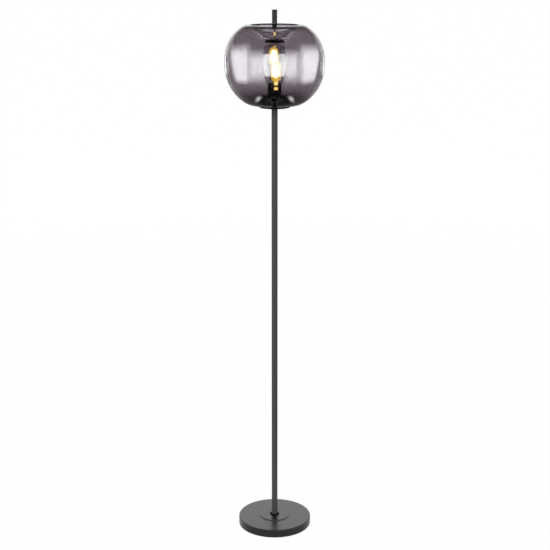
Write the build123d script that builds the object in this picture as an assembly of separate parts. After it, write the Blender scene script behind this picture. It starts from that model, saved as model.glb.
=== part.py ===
from build123d import *
import math
import os

# Globe floor lamp, standing on Z = 0, its pole along +Z, its cord inlet at the back (+Y). Millimetres.

# ---------------------------------------------------------------- driving dimensions: foot
BASE_DIAMETER = 226.0
BASE_HEIGHT = 25.0  # floor to the flat rim of the base
BASE_EDGE_RADIUS = 3.0
COVER_WALL = 1.5
SKIRT_GAP = 1.0  # the cover's skirt ends this far above the floor
PLATEAU_DIAMETER = 92.0
PLATEAU_RISE = 2.0
PLATEAU_STEP = 0.8  # how far out the plateau's side runs on its way down
PLATEAU_TOP_BEND = 0.6
PLATEAU_FOOT_BEND = 0.5
PAD_THICKNESS = 2.0
PAD_INSET = 4.0  # pad edge inside the skirt
PAD_EDGE_RADIUS = 0.5
WEIGHT_BOSS_GAP = 1.5  # radial, the weight's boss inside the plateau's wall
NUT_WELL_DIAMETER = 62.0
NUT_WELL_DEPTH = 9.0
CORD_CHANNEL_WIDTH = 14.0
CORD_CHANNEL_HEADROOM = 0.8  # above the grommet's flange
BASE_WASHER_DIAMETER = 40.0
BASE_WASHER_THICKNESS = 2.5
INLET_BORE_RADIUS = 3.3  # takes a 6.5 mm lead
INLET_FLANGE_RADIUS = 6.2
INLET_FLANGE_THICKNESS = 1.5
INLET_NECK_RADIUS = 4.8
INLET_ABOVE_PAD = 0.6  # the grommet's flange above the top of the pad
FOOT_WASHER_DIAMETER = 29.0
FOOT_WASHER_THICKNESS = 2.0

# ---------------------------------------------------------------- driving dimensions: pole
POLE_DIAMETER = 18.0
POLE_WALL = 1.2
TUBE_EDGE = 0.25  # chamfer on the pole's cut ends
LOWER_POLE_LENGTH = 641.0
UPPER_POLE_LENGTH = 649.4
JOINT_RING_THICKNESS = 0.6
JOINT_RING_INSET = 0.4
INSERT_LENGTH = 25.0
NIPPLE_DIAMETER = 10.0  # hollow stud that the lamp is screwed together with
NIPPLE_BORE = 7.0
NIPPLE_ENGAGEMENT = 22.0  # reach into an insert
NUT_ACROSS_FLATS = 15.0
NUT_HEIGHT = 4.0
NUT_BEVEL = 0.6  # of the overhang of a nut's corners, turned off
STUD_PROUD = 1.5  # a stud's end beyond its nut

# ---------------------------------------------------------------- driving dimensions: globe holder
DISH_DIAMETER = 95.0
DISH_FLOOR_DIAMETER = 62.0
DISH_HEIGHT = 11.2
DISH_CURVE_HEIGHT = 7.0
DISH_WALL = 1.5
SEAT_TAPER = 5.2  # radial, dish's rim in to the top of the seat
SEAT_HEIGHT = 27.0  # pole's end to the top of the seat
SEAT_WALL = 1.8
SEAT_RIM_WIDTH = 7.3
SEAT_RECESS_DEPTH = 3.5
SEAT_DROP = 2.0  # how far the seat's skirt reaches down inside the dish's rim
SEAT_BEND = 1.0
SEAT_EDGE_RADIUS = 1.2
SPACER_DIAMETER = 18.0
GASKET_HEIGHT = 5.4
GASKET_BULGE = (0.5, 0.9, 0.2)  # past the dish's rim, at the gasket's foot, middle and top
GASKET_EDGE_RADII = (0.4, 0.8)  # foot, top

# ---------------------------------------------------------------- driving dimensions: lampholder
SLEEVE_DIAMETER = 41.0
SLEEVE_HEIGHT = 45.5
SLEEVE_WALL = 1.3
SLEEVE_FLOOR = 1.5
SLEEVE_FOOT_RADIUS = 1.0
LIP_ROUNDING = 0.45  # of a wall, the corner radius that rounds its lip
NUT_HEADROOM = 3.0  # lock nut to the insulator
SHELL_BORE_RADIUS = 13.35
SHELL_WALL = 0.5
INSULATOR_FLOOR = 2.5
INSULATOR_SKIRT = 2.2
INSULATOR_SINK = 5.0  # below the sleeve's rim
INSULATOR_EDGE_RADIUS = 0.8
CONTACT_HOLE_RADIUS = 2.0
SHELL_LEDGE = 4.5  # contact floor to the ledge that the screw shell stands on
SHELL_FOOT_WIDTH = 3.0
SHELL_BEND = 0.4
SHELL_PROUD = 0.5  # above the insulator
TERMINAL_SPACING = 25.0
TERMINAL_HOLE_RADIUS = 1.8
TERMINAL_HEAD_RADIUS = 3.0
TERMINAL_HEAD_HEIGHT = 2.2
TERMINAL_HEAD_EDGE = 0.6
TERMINAL_SLOT_WIDTH = 0.8
TERMINAL_SLOT_DEPTH = 0.7
LEAF_THICKNESS = 0.6
LEAF_WIDTH = 6.0
LEAF_BENDS = (-8.0, -2.5, 1.0, 4.0)  # where the contact leaf starts, lifts, levels and ends
LEAF_TO_TIP = 4.0  # contact floor to the bulb's tip
RING_HEIGHT = 2.8
RING_EDGE_RADII = (0.5, 1.0)  # outside, inside

# ---------------------------------------------------------------- driving dimensions: bulb
BULB_LENGTH = 146.5  # contact tip to the top of the glass
BULB_DIAMETER = 71.0
BULB_WALL = 0.9
BULB_OUTLINE = ((0.72, 6.5, -36), (0.87, 19.0, -77), (1.0, 61.5, -90))  # share of radius, depth, heading
NECK_OUTLINE = ((0.775, 20.0, -112), (0.63, 7.4, -130))  # share of radius, height above the cap, heading
NECK_ABOVE_CAP = 0.4
NECK_IN_CAP = 6.0
CAP_RADIUS = 13.0
CAP_WALL = 0.4
CAP_LENGTH = 23.5
CAP_ABOVE_TIP = 4.5
CAP_BEND = 0.5
CAP_FOOT_LIP = 1.2
CONE_TIP_RADIUS = 4.8
CONE_SEAT = 1.0  # how far the insulating cone reaches into the cap
TIP_RADIUS = 4.6
TIP_HEIGHT = 1.5
TIP_EDGE_RADIUS = 0.9
FILAMENT_LENGTHS = (39.0, 34.0)  # lower and upper tier
FILAMENT_RADIUS = 1.1
FILAMENT_CIRCLE_RADIUS = 7.5
FILAMENTS_PER_TIER = 4
FIRST_FILAMENT_ANGLE = 45.0
FIRST_SPIDER_HEIGHT = 24.0  # cap's top edge to the top of the lowest spider
SPIDER_THICKNESS = 0.6
SPIDER_HUB_RADIUS = 2.8
SPIDER_ARM_WIDTH = 1.6
STEM_ROD_RADIUS = 1.4
STEM_IN_CAP = 5.0
STEM_PROUD = 1.5  # above the top spider
STEM_FLARE = ((4.0, 4.0), (15.0, 8.0), (24.0, 1.2), (26.0, 0.6))  # height over the stem's foot, corner radius
STEM_WAIST_RADII = (3.6, 3.0)
STEM_FOOT_TAPER = 0.9
STEM_EDGE = 0.6

# ---------------------------------------------------------------- driving dimensions: globe
GLOBE_DIAMETER = 290.4
GLOBE_HEIGHT = 229.7  # lowest ring to the crest round the crown
GLOBE_EQUATOR = 121.5  # lowest ring to the widest ring
GLOBE_WALL = 3.5
GLOBE_STANDOFF = 7.5  # pole's end to the lowest ring
CREST_RADIUS = 74.1
UPPER_FULLNESS = (0.583, 0.791)  # shoulder, as shares of the way out to and up from the equator
UPPER_SHOULDER_SLOPE = -46.3
LOWER_FULLNESS = (0.665, 0.724)
LOWER_SHOULDER_SLOPE = -130.0
LOWEST_RING_OUT = 10.4  # radial, lip of the mouth to the lowest ring
MOUTH_RISE = 22.5  # lowest ring to the lip of the upturned mouth
MOUTH_BEND = (2.7, 7.0)  # out from the lip and up from the lowest ring
MOUTH_HEADINGS = (-248.0, -264.0)  # at the bend and at the lip
FUNNEL_FLOOR_RADIUS = 27.0
FUNNEL_CORNER = (8.0, 3.3)  # how far the funnel's lower bend runs out and up
CREST_ROLL = (9.0, 8.0)  # how far the crest's inner bend runs in and down

# ---------------------------------------------------------------- driving dimensions: finial
FINIAL_DIAMETER = 15.0
FINIAL_LENGTH = 40.0
FINIAL_REACH = 83.2  # funnel's floor to the finial's top
FINIAL_EDGE_RADIUS = 0.5
FINIAL_BUSH_LENGTH = 13.0
STUD_DIAMETER = 6.0
STUD_ENGAGEMENT = 15.0
STUD_HOLE_SPARE = 2.0  # depth of the finial's blind hole beyond the stud
STUD_SINK = 0.5  # the stud's end inside the plate
FINIAL_PLATE_DIAMETER = 58.0
FINIAL_PLATE_THICKNESS = 5.0
FINIAL_PLATE_EDGE_RADII = (1.5, 0.6)  # below, above
FINIAL_NUT_ACROSS_FLATS = 10.0
FINIAL_NUT_HEIGHT = 5.0
LOWER_WASHER_THICKNESS = 0.8
LOWER_WASHER_INSET = 2.0  # inside the funnel's flat floor
UPPER_WASHER_DIAMETER = 18.0
UPPER_WASHER_THICKNESS = 1.2

# ---------------------------------------------------------------- clearances
SLIP = 0.1  # radial, between pieces that push or drop into each other
CAST_SLIP = 0.4  # radial, round cast iron and ceramic bodies
THREAD_SLIP = 0.05  # radial, between a stud and its smooth-bored nut
HOLE_SLIP = 0.3  # radial, a plain hole over a stud
GLASS_GAP = 0.3  # gasket to the resting globe
SEAT_TO_MOUTH = 3.3  # radial, top of the seat to the glass mouth's lip
CONTACT_GAP = 0.3
BULB_HEADROOM = 2.5  # bulb to the plate above it
RIM_GAP = 0.3
EDGE_BREAK = 0.5  # chamfer on studs, inserts and washers
CUT_PAST = 1.0  # how far a cut runs past what it cuts

# ---------------------------------------------------------------- heights that follow
PLATEAU_TOP = BASE_HEIGHT + PLATEAU_RISE
POLE_FOOT = PLATEAU_TOP + FOOT_WASHER_THICKNESS
JOINT_LOW = POLE_FOOT + LOWER_POLE_LENGTH
JOINT_HIGH = JOINT_LOW + JOINT_RING_THICKNESS
POLE_TOP = JOINT_HIGH + UPPER_POLE_LENGTH
SEAT_TOP = POLE_TOP + SEAT_HEIGHT
SEAT_FOOT = POLE_TOP + DISH_HEIGHT - SEAT_DROP
HUB_TOP = SEAT_TOP - SEAT_RECESS_DEPTH
SLEEVE_TOP = HUB_TOP + SLEEVE_HEIGHT
LOCK_NUT_LOW = HUB_TOP + SLEEVE_FLOOR
INSULATOR_LOW = LOCK_NUT_LOW + NUT_HEIGHT + NUT_HEADROOM
CONTACT_FLOOR = INSULATOR_LOW + INSULATOR_FLOOR
SHELL_LOW = CONTACT_FLOOR + SHELL_LEDGE
INSULATOR_TOP = SLEEVE_TOP - INSULATOR_SINK
BULB_TIP = CONTACT_FLOOR + LEAF_TO_TIP
BULB_TOP = BULB_TIP + BULB_LENGTH
TIP_TOP = BULB_TIP + TIP_HEIGHT
CAP_LOW = BULB_TIP + CAP_ABOVE_TIP
CAP_TOP = CAP_LOW + CAP_LENGTH
GLOBE_LOW = POLE_TOP + GLOBE_STANDOFF
EQUATOR = GLOBE_LOW + GLOBE_EQUATOR
CREST = GLOBE_LOW + GLOBE_HEIGHT
PLATE_LOW = BULB_TOP + BULB_HEADROOM
PLATE_TOP = PLATE_LOW + FINIAL_PLATE_THICKNESS
FUNNEL_FLOOR = PLATE_TOP + LOWER_WASHER_THICKNESS + GLOBE_WALL
FINIAL_TOP = FUNNEL_FLOOR + FINIAL_REACH
FINIAL_LOW = FINIAL_TOP - FINIAL_LENGTH
BUSH_LOW = FINIAL_LOW - FINIAL_BUSH_LENGTH

# ---------------------------------------------------------------- radii that follow
NIPPLE_RADIUS = NIPPLE_DIAMETER / 2
NIPPLE_HOLE = NIPPLE_RADIUS + HOLE_SLIP
TAPPED_HOLE = NIPPLE_RADIUS + THREAD_SLIP
POLE_RADIUS = POLE_DIAMETER / 2
COVER_RADIUS = BASE_DIAMETER / 2
SKIRT_INNER = COVER_RADIUS - COVER_WALL
DISH_RADIUS = DISH_DIAMETER / 2
SEAT_TOP_RADIUS = DISH_RADIUS - SEAT_TAPER
SEAT_FOOT_RADIUS = DISH_RADIUS - DISH_WALL - SLIP
SLEEVE_RADIUS = SLEEVE_DIAMETER / 2
SLEEVE_INNER = SLEEVE_RADIUS - SLEEVE_WALL
SHELL_RADIUS = SHELL_BORE_RADIUS + SHELL_WALL
STUD_RADIUS = STUD_DIAMETER / 2
GLOBE_RADIUS = GLOBE_DIAMETER / 2
LIP_RADIUS = SEAT_TOP_RADIUS + SEAT_TO_MOUTH
LOWEST_RING_RADIUS = LIP_RADIUS + LOWEST_RING_OUT
NECK_RADIUS = CAP_RADIUS - CAP_WALL - SLIP  # bulb's glass where it enters the cap


# ================================================================ profiles and turned forms
def ray(degrees):
    """Unit vector (r, z) at an angle from +r towards +z."""
    return math.cos(math.radians(degrees)), math.sin(math.radians(degrees))


def arc_edge(start, heading, end, shift=0.0):
    """Arc that leaves start along heading and reaches end, moved shift to its left. Gives edge, end heading."""
    run, rise = end[0] - start[0], end[1] - start[1]
    chord = math.degrees(math.atan2(rise, run))
    turn = 2 * ((chord - heading + 180) % 360 - 180)
    half = math.hypot(run, rise) / 2
    bulge = half * math.tan(math.radians(turn / 4))
    side = ray(chord + 90)
    middle = [(a + b) / 2 - bulge * s for a, b, s in zip(start, end, side)]

    def moved(point, angle):
        left = ray(angle + 90)
        return (point[0] + shift * left[0], 0, point[1] + shift * left[1])

    first, last = moved(start, heading), moved(end, heading + turn)
    if abs(turn) < 0.01:
        return Line(first, last), heading + turn
    return ThreePointArc(first, moved(middle, heading + turn / 2), last), heading + turn


def smooth_edges(stations, shift=0.0):
    """Tangent arcs, two between each pair of stations (r, z, heading), moved shift to the left of the path."""
    edges = []
    for (r0, z0, h0), (r1, z1, h1) in zip(stations, stations[1:]):
        t0, t1 = ray(h0), ray(h1)
        v = (r1 - r0, z1 - z0)
        along = v[0] * (t0[0] + t1[0]) + v[1] * (t0[1] + t1[1])
        spread = 2 * (1 - t0[0] * t1[0] - t0[1] * t1[1])
        reach = v[0] ** 2 + v[1] ** 2
        if spread < 1e-9:
            d = reach / (2 * along)
        else:
            d = (math.sqrt(along**2 + spread * reach) - along) / spread
        joint = ((r0 + r1 + d * (t0[0] - t1[0])) / 2, (z0 + z1 + d * (t0[1] - t1[1])) / 2)
        edge, heading = arc_edge((r0, z0), h0, joint, shift)
        edges.append(edge)
        edges.append(arc_edge(joint, heading, (r1, z1), shift)[0])
    return edges


def round_lip(station, wall, forward):
    """Half circle that closes a wall's end, bulging along the path if forward is 1 or against it if -1."""
    r, z, heading = station
    ahead, right = ray(heading), ray(heading - 90)
    tip = (r + right[0] * wall / 2 + ahead[0] * forward * wall / 2,
           0,
           z + right[1] * wall / 2 + ahead[1] * forward * wall / 2)
    far = (r + right[0] * wall, 0, z + right[1] * wall)
    return ThreePointArc((r, 0, z), tip, far)


def shifted(stations, amount):
    """The same path moved to its left."""
    return [(r + amount * ray(h + 90)[0], z + amount * ray(h + 90)[1], h) for r, z, h in stations]


def spun_wall(stations, wall, lips=True):
    """Solid of revolution: a wall of even thickness to the right of a smooth path of (r, z, heading)."""
    edges = smooth_edges(stations) + smooth_edges(stations, -wall)
    for station, forward in ((stations[0], -1), (stations[-1], 1)):
        if lips:
            edges.append(round_lip(station, wall, forward))
        else:
            right = ray(station[2] - 90)
            edges.append(Line((station[0], 0, station[1]),
                              (station[0] + right[0] * wall, 0, station[1] + right[1] * wall)))
    return revolve(make_face(Wire(edges)), Axis.Z)


def lathe(*corners):
    """Solid of revolution of a closed outline of (r, z) or (r, z, corner radius)."""
    outline = Face(Wire(Polyline(*[(c[0], 0, c[1]) for c in corners], close=True)))
    for corner in corners:
        if len(corner) == 3:
            place = Vector(corner[0], 0, corner[1])
            vertex = outline.vertices().sort_by(lambda v: (Vector(*v) - place).length)[0]
            outline = outline.fillet_2d(corner[2], [vertex])
    return revolve(outline, Axis.Z)


def tube(outer, inner, low, high, edge=0.0):
    """Tube or washer, its outer edges chamfered by edge."""
    wall = (outer, low), (outer, high)
    if edge:
        wall = (outer - edge, low), (outer, low + edge), (outer, high - edge), (outer - edge, high)
    return lathe((inner, low), *wall, (inner, high))


def hex_nut(across_flats, bore, low, height):
    """Hexagonal nut with its corners turned off."""
    blank = extrude(Plane.XY.offset(low) * RegularPolygon(across_flats / 2, 6, major_radius=False), height)
    corner = across_flats / math.sqrt(3)
    bevel = (corner - across_flats / 2) * NUT_BEVEL
    return blank & tube(corner, bore, low, low + height, bevel)


def drilled(solid, radius, x, y, low, high):
    """The solid with a straight hole along Z."""
    return solid - Pos(x, y, (low + high) / 2) * Cylinder(radius, high - low)


# ================================================================ foot
def base_cover():
    """Pressed steel cover: skirt, rounded edge, flat rim and a raised centre plateau."""
    plateau = PLATEAU_DIAMETER / 2
    shell = lathe(
        (NIPPLE_HOLE, PLATEAU_TOP - COVER_WALL),
        (NIPPLE_HOLE, PLATEAU_TOP),
        (plateau, PLATEAU_TOP, PLATEAU_TOP_BEND),
        (plateau + PLATEAU_STEP, BASE_HEIGHT, PLATEAU_FOOT_BEND),
        (COVER_RADIUS, BASE_HEIGHT, BASE_EDGE_RADIUS),
        (COVER_RADIUS, SKIRT_GAP),
        (SKIRT_INNER, SKIRT_GAP),
        (SKIRT_INNER, BASE_HEIGHT - COVER_WALL, BASE_EDGE_RADIUS - COVER_WALL),
        (plateau + PLATEAU_STEP - COVER_WALL, BASE_HEIGHT - COVER_WALL, PLATEAU_FOOT_BEND),
        (plateau - COVER_WALL, PLATEAU_TOP - COVER_WALL, PLATEAU_FOOT_BEND),
    )
    return shell - inlet_cylinder(INLET_NECK_RADIUS + SLIP, SKIRT_INNER - CUT_PAST, COVER_RADIUS + CUT_PAST)


def inlet_height():
    return PAD_THICKNESS + INLET_ABOVE_PAD + INLET_FLANGE_RADIUS


def inlet_cylinder(radius, near, far):
    """Cylinder along +Y at the cord inlet, from y = near to y = far."""
    return Pos(0, (near + far) / 2, inlet_height()) * Rot(-90, 0, 0) * Cylinder(radius, far - near)


def cord_grommet():
    """Rubber bush in the back of the skirt, flanged inside and out."""
    sag = INLET_FLANGE_RADIUS**2 / (2 * SKIRT_INNER)  # how far the round skirt falls away behind a flange
    outer_face = COVER_RADIUS + THREAD_SLIP
    inner_face = SKIRT_INNER - sag - THREAD_SLIP
    outer_end = outer_face + INLET_FLANGE_THICKNESS
    inner_end = inner_face - INLET_FLANGE_THICKNESS
    bush = inlet_cylinder(INLET_NECK_RADIUS, inner_end, outer_end)
    bush += inlet_cylinder(INLET_FLANGE_RADIUS, outer_face, outer_end)
    bush += inlet_cylinder(INLET_FLANGE_RADIUS, inner_end, inner_face)
    rims = bush.edges().filter_by(GeomType.CIRCLE).group_by(Axis.Y)[-1]
    bush = fillet(rims, INLET_FLANGE_THICKNESS / 2)
    return bush - inlet_cylinder(INLET_BORE_RADIUS, inner_end - CUT_PAST, outer_end + CUT_PAST)


def base_weight():
    """Cast-iron disc that fills the cover, with a well for the nut and a channel for the cord below."""
    rim = SKIRT_INNER - CAST_SLIP
    under_rim = BASE_HEIGHT - COVER_WALL - SLIP
    under_plateau = PLATEAU_TOP - COVER_WALL - SLIP
    boss = PLATEAU_DIAMETER / 2 - COVER_WALL - WEIGHT_BOSS_GAP
    disc = lathe(
        (NIPPLE_HOLE, PAD_THICKNESS),
        (rim, PAD_THICKNESS),
        (rim, under_rim, BASE_EDGE_RADIUS),
        (boss, under_rim),
        (boss, under_plateau),
        (NIPPLE_HOLE, under_plateau),
    )
    well_top = PAD_THICKNESS + NUT_WELL_DEPTH
    disc = drilled(disc, NUT_WELL_DIAMETER / 2, 0, 0, 0, well_top)
    channel_top = inlet_height() + INLET_FLANGE_RADIUS + CORD_CHANNEL_HEADROOM
    channel = Pos(0, COVER_RADIUS / 2, channel_top / 2) * Box(CORD_CHANNEL_WIDTH, COVER_RADIUS, channel_top)
    keep = tube(COVER_RADIUS, NUT_WELL_DIAMETER / 2 - CUT_PAST, 0, channel_top)
    return disc - (channel & keep)


def base_pad():
    """Felt disc glued under the weight."""
    radius = SKIRT_INNER - PAD_INSET
    return lathe((0, 0), (radius, 0, PAD_EDGE_RADIUS), (radius, PAD_THICKNESS), (0, PAD_THICKNESS))


def base_fixings():
    """Plate washer and nut in the well, and the hollow stud that draws the pole down on the base."""
    washer_top = PAD_THICKNESS + NUT_WELL_DEPTH
    washer_low = washer_top - BASE_WASHER_THICKNESS
    nut_low = washer_low - NUT_HEIGHT
    return {
        "base_washer": tube(BASE_WASHER_DIAMETER / 2, NIPPLE_HOLE, washer_low, washer_top, EDGE_BREAK),
        "base_nut": hex_nut(NUT_ACROSS_FLATS, TAPPED_HOLE, nut_low, NUT_HEIGHT),
        "base_stud": hollow_stud(nut_low - STUD_PROUD, POLE_FOOT + NIPPLE_ENGAGEMENT),
    }


def foot_washer():
    """Flat black washer between the pole and the base."""
    return tube(FOOT_WASHER_DIAMETER / 2, NIPPLE_HOLE, PLATEAU_TOP, POLE_FOOT, EDGE_BREAK)


# ================================================================ pole
def hollow_stud(low, high):
    return tube(NIPPLE_RADIUS, NIPPLE_BORE / 2, low, high, EDGE_BREAK)


def pole_pieces():
    """Two tubes with a tapped insert in each end, joined by a hollow stud over a thin ring."""
    inner = POLE_RADIUS - POLE_WALL
    insert = inner - SLIP
    pieces = {
        "lower_pole": tube(POLE_RADIUS, inner, POLE_FOOT, JOINT_LOW, TUBE_EDGE),
        "upper_pole": tube(POLE_RADIUS, inner, JOINT_HIGH, POLE_TOP, TUBE_EDGE),
        "pole_joint_ring": tube(POLE_RADIUS - JOINT_RING_INSET, NIPPLE_HOLE, JOINT_LOW, JOINT_HIGH),
        "pole_joint_stud": hollow_stud(JOINT_LOW - NIPPLE_ENGAGEMENT, JOINT_HIGH + NIPPLE_ENGAGEMENT),
    }
    ends = {
        "lower_pole_foot_insert": POLE_FOOT,
        "lower_pole_head_insert": JOINT_LOW - INSERT_LENGTH,
        "upper_pole_foot_insert": JOINT_HIGH,
        "upper_pole_head_insert": POLE_TOP - INSERT_LENGTH,
    }
    for name, low in ends.items():
        pieces[name] = tube(insert, TAPPED_HOLE, low, low + INSERT_LENGTH, EDGE_BREAK)
    return pieces


# ================================================================ globe holder
def seat_radius(z):
    """Outer radius of the seat's cone at height z."""
    share = (SEAT_TOP - z) / (SEAT_TOP - SEAT_FOOT)
    return SEAT_TOP_RADIUS + share * (SEAT_FOOT_RADIUS - SEAT_TOP_RADIUS)


def holder_dish():
    """Spun steel dish on top of the pole: flat floor, curved side, short upright rim."""
    return spun_wall(
        [
            (DISH_RADIUS, POLE_TOP + DISH_HEIGHT, -90),
            (DISH_RADIUS, POLE_TOP + DISH_CURVE_HEIGHT, -90),
            (DISH_FLOOR_DIAMETER / 2, POLE_TOP, -180),
            (NIPPLE_HOLE, POLE_TOP, -180),
        ],
        DISH_WALL,
        lips=False,
    )


def globe_seat():
    """Spun cone that centres the globe: sunk hub, flat rim and tapered skirt, open below."""
    rim = SEAT_TOP_RADIUS
    recess = rim - SEAT_RIM_WIDTH
    return lathe(
        (NIPPLE_HOLE, HUB_TOP - SEAT_WALL),
        (recess + SEAT_WALL, HUB_TOP - SEAT_WALL, SEAT_BEND),
        (recess + SEAT_WALL, SEAT_TOP - SEAT_WALL, SEAT_BEND),
        (rim - SEAT_WALL, SEAT_TOP - SEAT_WALL, SEAT_BEND),
        (SEAT_FOOT_RADIUS - SEAT_WALL, SEAT_FOOT),
        (SEAT_FOOT_RADIUS, SEAT_FOOT),
        (rim, SEAT_TOP, SEAT_EDGE_RADIUS),
        (recess, SEAT_TOP, SEAT_BEND),
        (recess, HUB_TOP, SEAT_BEND),
        (NIPPLE_HOLE, HUB_TOP),
    )


def seat_spacer():
    """Tube that holds the seat's hub above the dish's floor."""
    return tube(SPACER_DIAMETER / 2, NIPPLE_HOLE, POLE_TOP + DISH_WALL, HUB_TOP - SEAT_WALL, EDGE_BREAK)


def mouth_stations():
    """The globe's upturned mouth, from its lowest ring up to its lip, on the side that faces the seat."""
    out, up = MOUTH_BEND
    at_bend, at_lip = MOUTH_HEADINGS
    return [
        (LOWEST_RING_RADIUS, GLOBE_LOW, -180),
        (LIP_RADIUS + out, GLOBE_LOW + up, at_bend),
        (LIP_RADIUS, GLOBE_LOW + MOUTH_RISE, at_lip),
    ]


def globe_gasket():
    """Silicone ring round the foot of the seat, on the dish's rim: the glass mouth rests on it."""
    low = POLE_TOP + DISH_HEIGHT
    high = low + GASKET_HEIGHT
    foot, middle, top = (DISH_RADIUS + bulge for bulge in GASKET_BULGE)
    foot_edge, top_edge = GASKET_EDGE_RADII
    blank = lathe(
        (seat_radius(low) + SLIP, low),
        (foot, low, foot_edge),
        (middle, low + GASKET_HEIGHT / 2),
        (top, high, top_edge),
        (seat_radius(high) + SLIP, high),
    )
    return blank - spun_wall(shifted(mouth_stations(), GLASS_GAP), 2 * GLOBE_WALL)


def head_fixings():
    """Hollow stud through dish, spacer, seat and lampholder, with the nut that clamps them."""
    return {
        "head_stud": hollow_stud(POLE_TOP - NIPPLE_ENGAGEMENT, LOCK_NUT_LOW + NUT_HEIGHT + STUD_PROUD),
        "head_nut": hex_nut(NUT_ACROSS_FLATS, TAPPED_HOLE, LOCK_NUT_LOW, NUT_HEIGHT),
    }


# ================================================================ lampholder
def lampholder_sleeve():
    """Glossy sleeve, closed below but for the stud's hole, its rim rounded."""
    return lathe(
        (NIPPLE_HOLE, HUB_TOP),
        (SLEEVE_RADIUS, HUB_TOP, SLEEVE_FOOT_RADIUS),
        (SLEEVE_RADIUS, SLEEVE_TOP, SLEEVE_WALL * LIP_ROUNDING),
        (SLEEVE_INNER, SLEEVE_TOP, SLEEVE_WALL * LIP_ROUNDING),
        (SLEEVE_INNER, LOCK_NUT_LOW),
        (NIPPLE_HOLE, LOCK_NUT_LOW),
    )


def lampholder_insulator():
    """Ceramic body: a floor for the contacts, a ledge and a bore for the screw shell."""
    outer = SLEEVE_INNER - CAST_SLIP
    body = lathe(
        (CONTACT_HOLE_RADIUS, INSULATOR_LOW),
        (outer - INSULATOR_SKIRT, INSULATOR_LOW),
        (outer - INSULATOR_SKIRT, LOCK_NUT_LOW),
        (outer, LOCK_NUT_LOW),
        (outer, INSULATOR_TOP, INSULATOR_EDGE_RADIUS),
        (SHELL_RADIUS + SLIP, INSULATOR_TOP),
        (SHELL_RADIUS + SLIP, SHELL_LOW),
        (SHELL_RADIUS - SHELL_FOOT_WIDTH, SHELL_LOW),
        (SHELL_RADIUS - SHELL_FOOT_WIDTH, CONTACT_FLOOR),
        (CONTACT_HOLE_RADIUS, CONTACT_FLOOR),
    )
    for side in (-1, 1):
        x = side * TERMINAL_SPACING / 2
        body = drilled(body, TERMINAL_HOLE_RADIUS, x, 0, INSULATOR_LOW - CUT_PAST, CONTACT_FLOOR)
    return body


def screw_shell():
    """Plated shell that the bulb's cap screws into, with an inward foot."""
    high = INSULATOR_TOP + SHELL_PROUD
    return lathe(
        (SHELL_RADIUS - SHELL_FOOT_WIDTH, SHELL_LOW),
        (SHELL_RADIUS, SHELL_LOW, SHELL_BEND),
        (SHELL_RADIUS, high),
        (SHELL_BORE_RADIUS, high),
        (SHELL_BORE_RADIUS, SHELL_LOW + SHELL_WALL),
        (SHELL_RADIUS - SHELL_FOOT_WIDTH, SHELL_LOW + SHELL_WALL),
    )


def centre_contact():
    """Brass leaf, riveted to the insulator's floor and bent up under the bulb's tip."""
    low = CONTACT_FLOOR + LEAF_THICKNESS / 2
    high = BULB_TIP - CONTACT_GAP - LEAF_THICKNESS / 2
    path = Polyline(*[(x, 0, z) for x, z in zip(LEAF_BENDS, (low, low, high, high))])
    strip = make_face(offset_2d(path, LEAF_THICKNESS / 2))
    return extrude(strip, LEAF_WIDTH / 2, both=True)


def offset_2d(path, amount):
    """Closed outline at a distance from an open path in the XZ plane."""
    return Wire(path.edges()).offset_2d(amount, kind=Kind.INTERSECTION, side=Side.BOTH)


def terminal_screws():
    """Two terminal screws under the insulator, their shanks in its floor."""
    head_low = INSULATOR_LOW - TERMINAL_HEAD_HEIGHT
    shank = TERMINAL_HOLE_RADIUS - SLIP
    screw = lathe((0, head_low), (TERMINAL_HEAD_RADIUS, head_low, TERMINAL_HEAD_EDGE),
                  (TERMINAL_HEAD_RADIUS, INSULATOR_LOW), (shank, INSULATOR_LOW), (shank, CONTACT_FLOOR),
                  (0, CONTACT_FLOOR))
    slot_length = 2 * (TERMINAL_HEAD_RADIUS + CUT_PAST)
    screw -= Pos(0, 0, head_low) * Box(slot_length, TERMINAL_SLOT_WIDTH, 2 * TERMINAL_SLOT_DEPTH)
    return Compound(children=[Pos(side * TERMINAL_SPACING / 2, 0, 0) * screw for side in (-1, 1)])


def lampholder_ring():
    """Black ring that closes the sleeve round the screw shell."""
    high = INSULATOR_TOP + RING_HEIGHT
    outside_edge, inside_edge = RING_EDGE_RADII
    return lathe(
        (SHELL_RADIUS + RIM_GAP, INSULATOR_TOP),
        (SLEEVE_INNER - SLIP, INSULATOR_TOP),
        (SLEEVE_INNER - SLIP, high, outside_edge),
        (SHELL_RADIUS + RIM_GAP, high, inside_edge),
    )


# ================================================================ bulb
def bulb_stations():
    """Outside of the bulb's glass, from its crown down to its neck inside the cap."""
    radius = BULB_DIAMETER / 2
    return [
        (0, BULB_TOP, 0),
        *((radius * share, BULB_TOP - depth, heading) for share, depth, heading in BULB_OUTLINE),
        *((radius * share, CAP_TOP + height, heading) for share, height, heading in NECK_OUTLINE),
        (NECK_RADIUS, CAP_TOP + NECK_ABOVE_CAP, -90),
        (NECK_RADIUS, CAP_TOP - NECK_IN_CAP, -90),
    ]


def bulb_glass():
    """Clear blown bulb: flattened crown, straight-shouldered body and a neck that ends in the cap."""
    edges = smooth_edges(bulb_stations()) + smooth_edges(bulb_stations(), -BULB_WALL)
    edges.append(round_lip(bulb_stations()[-1], BULB_WALL, 1))
    edges.append(Line((0, 0, BULB_TOP - BULB_WALL), (0, 0, BULB_TOP)))
    return revolve(make_face(Wire(edges)), Axis.Z)


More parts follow.
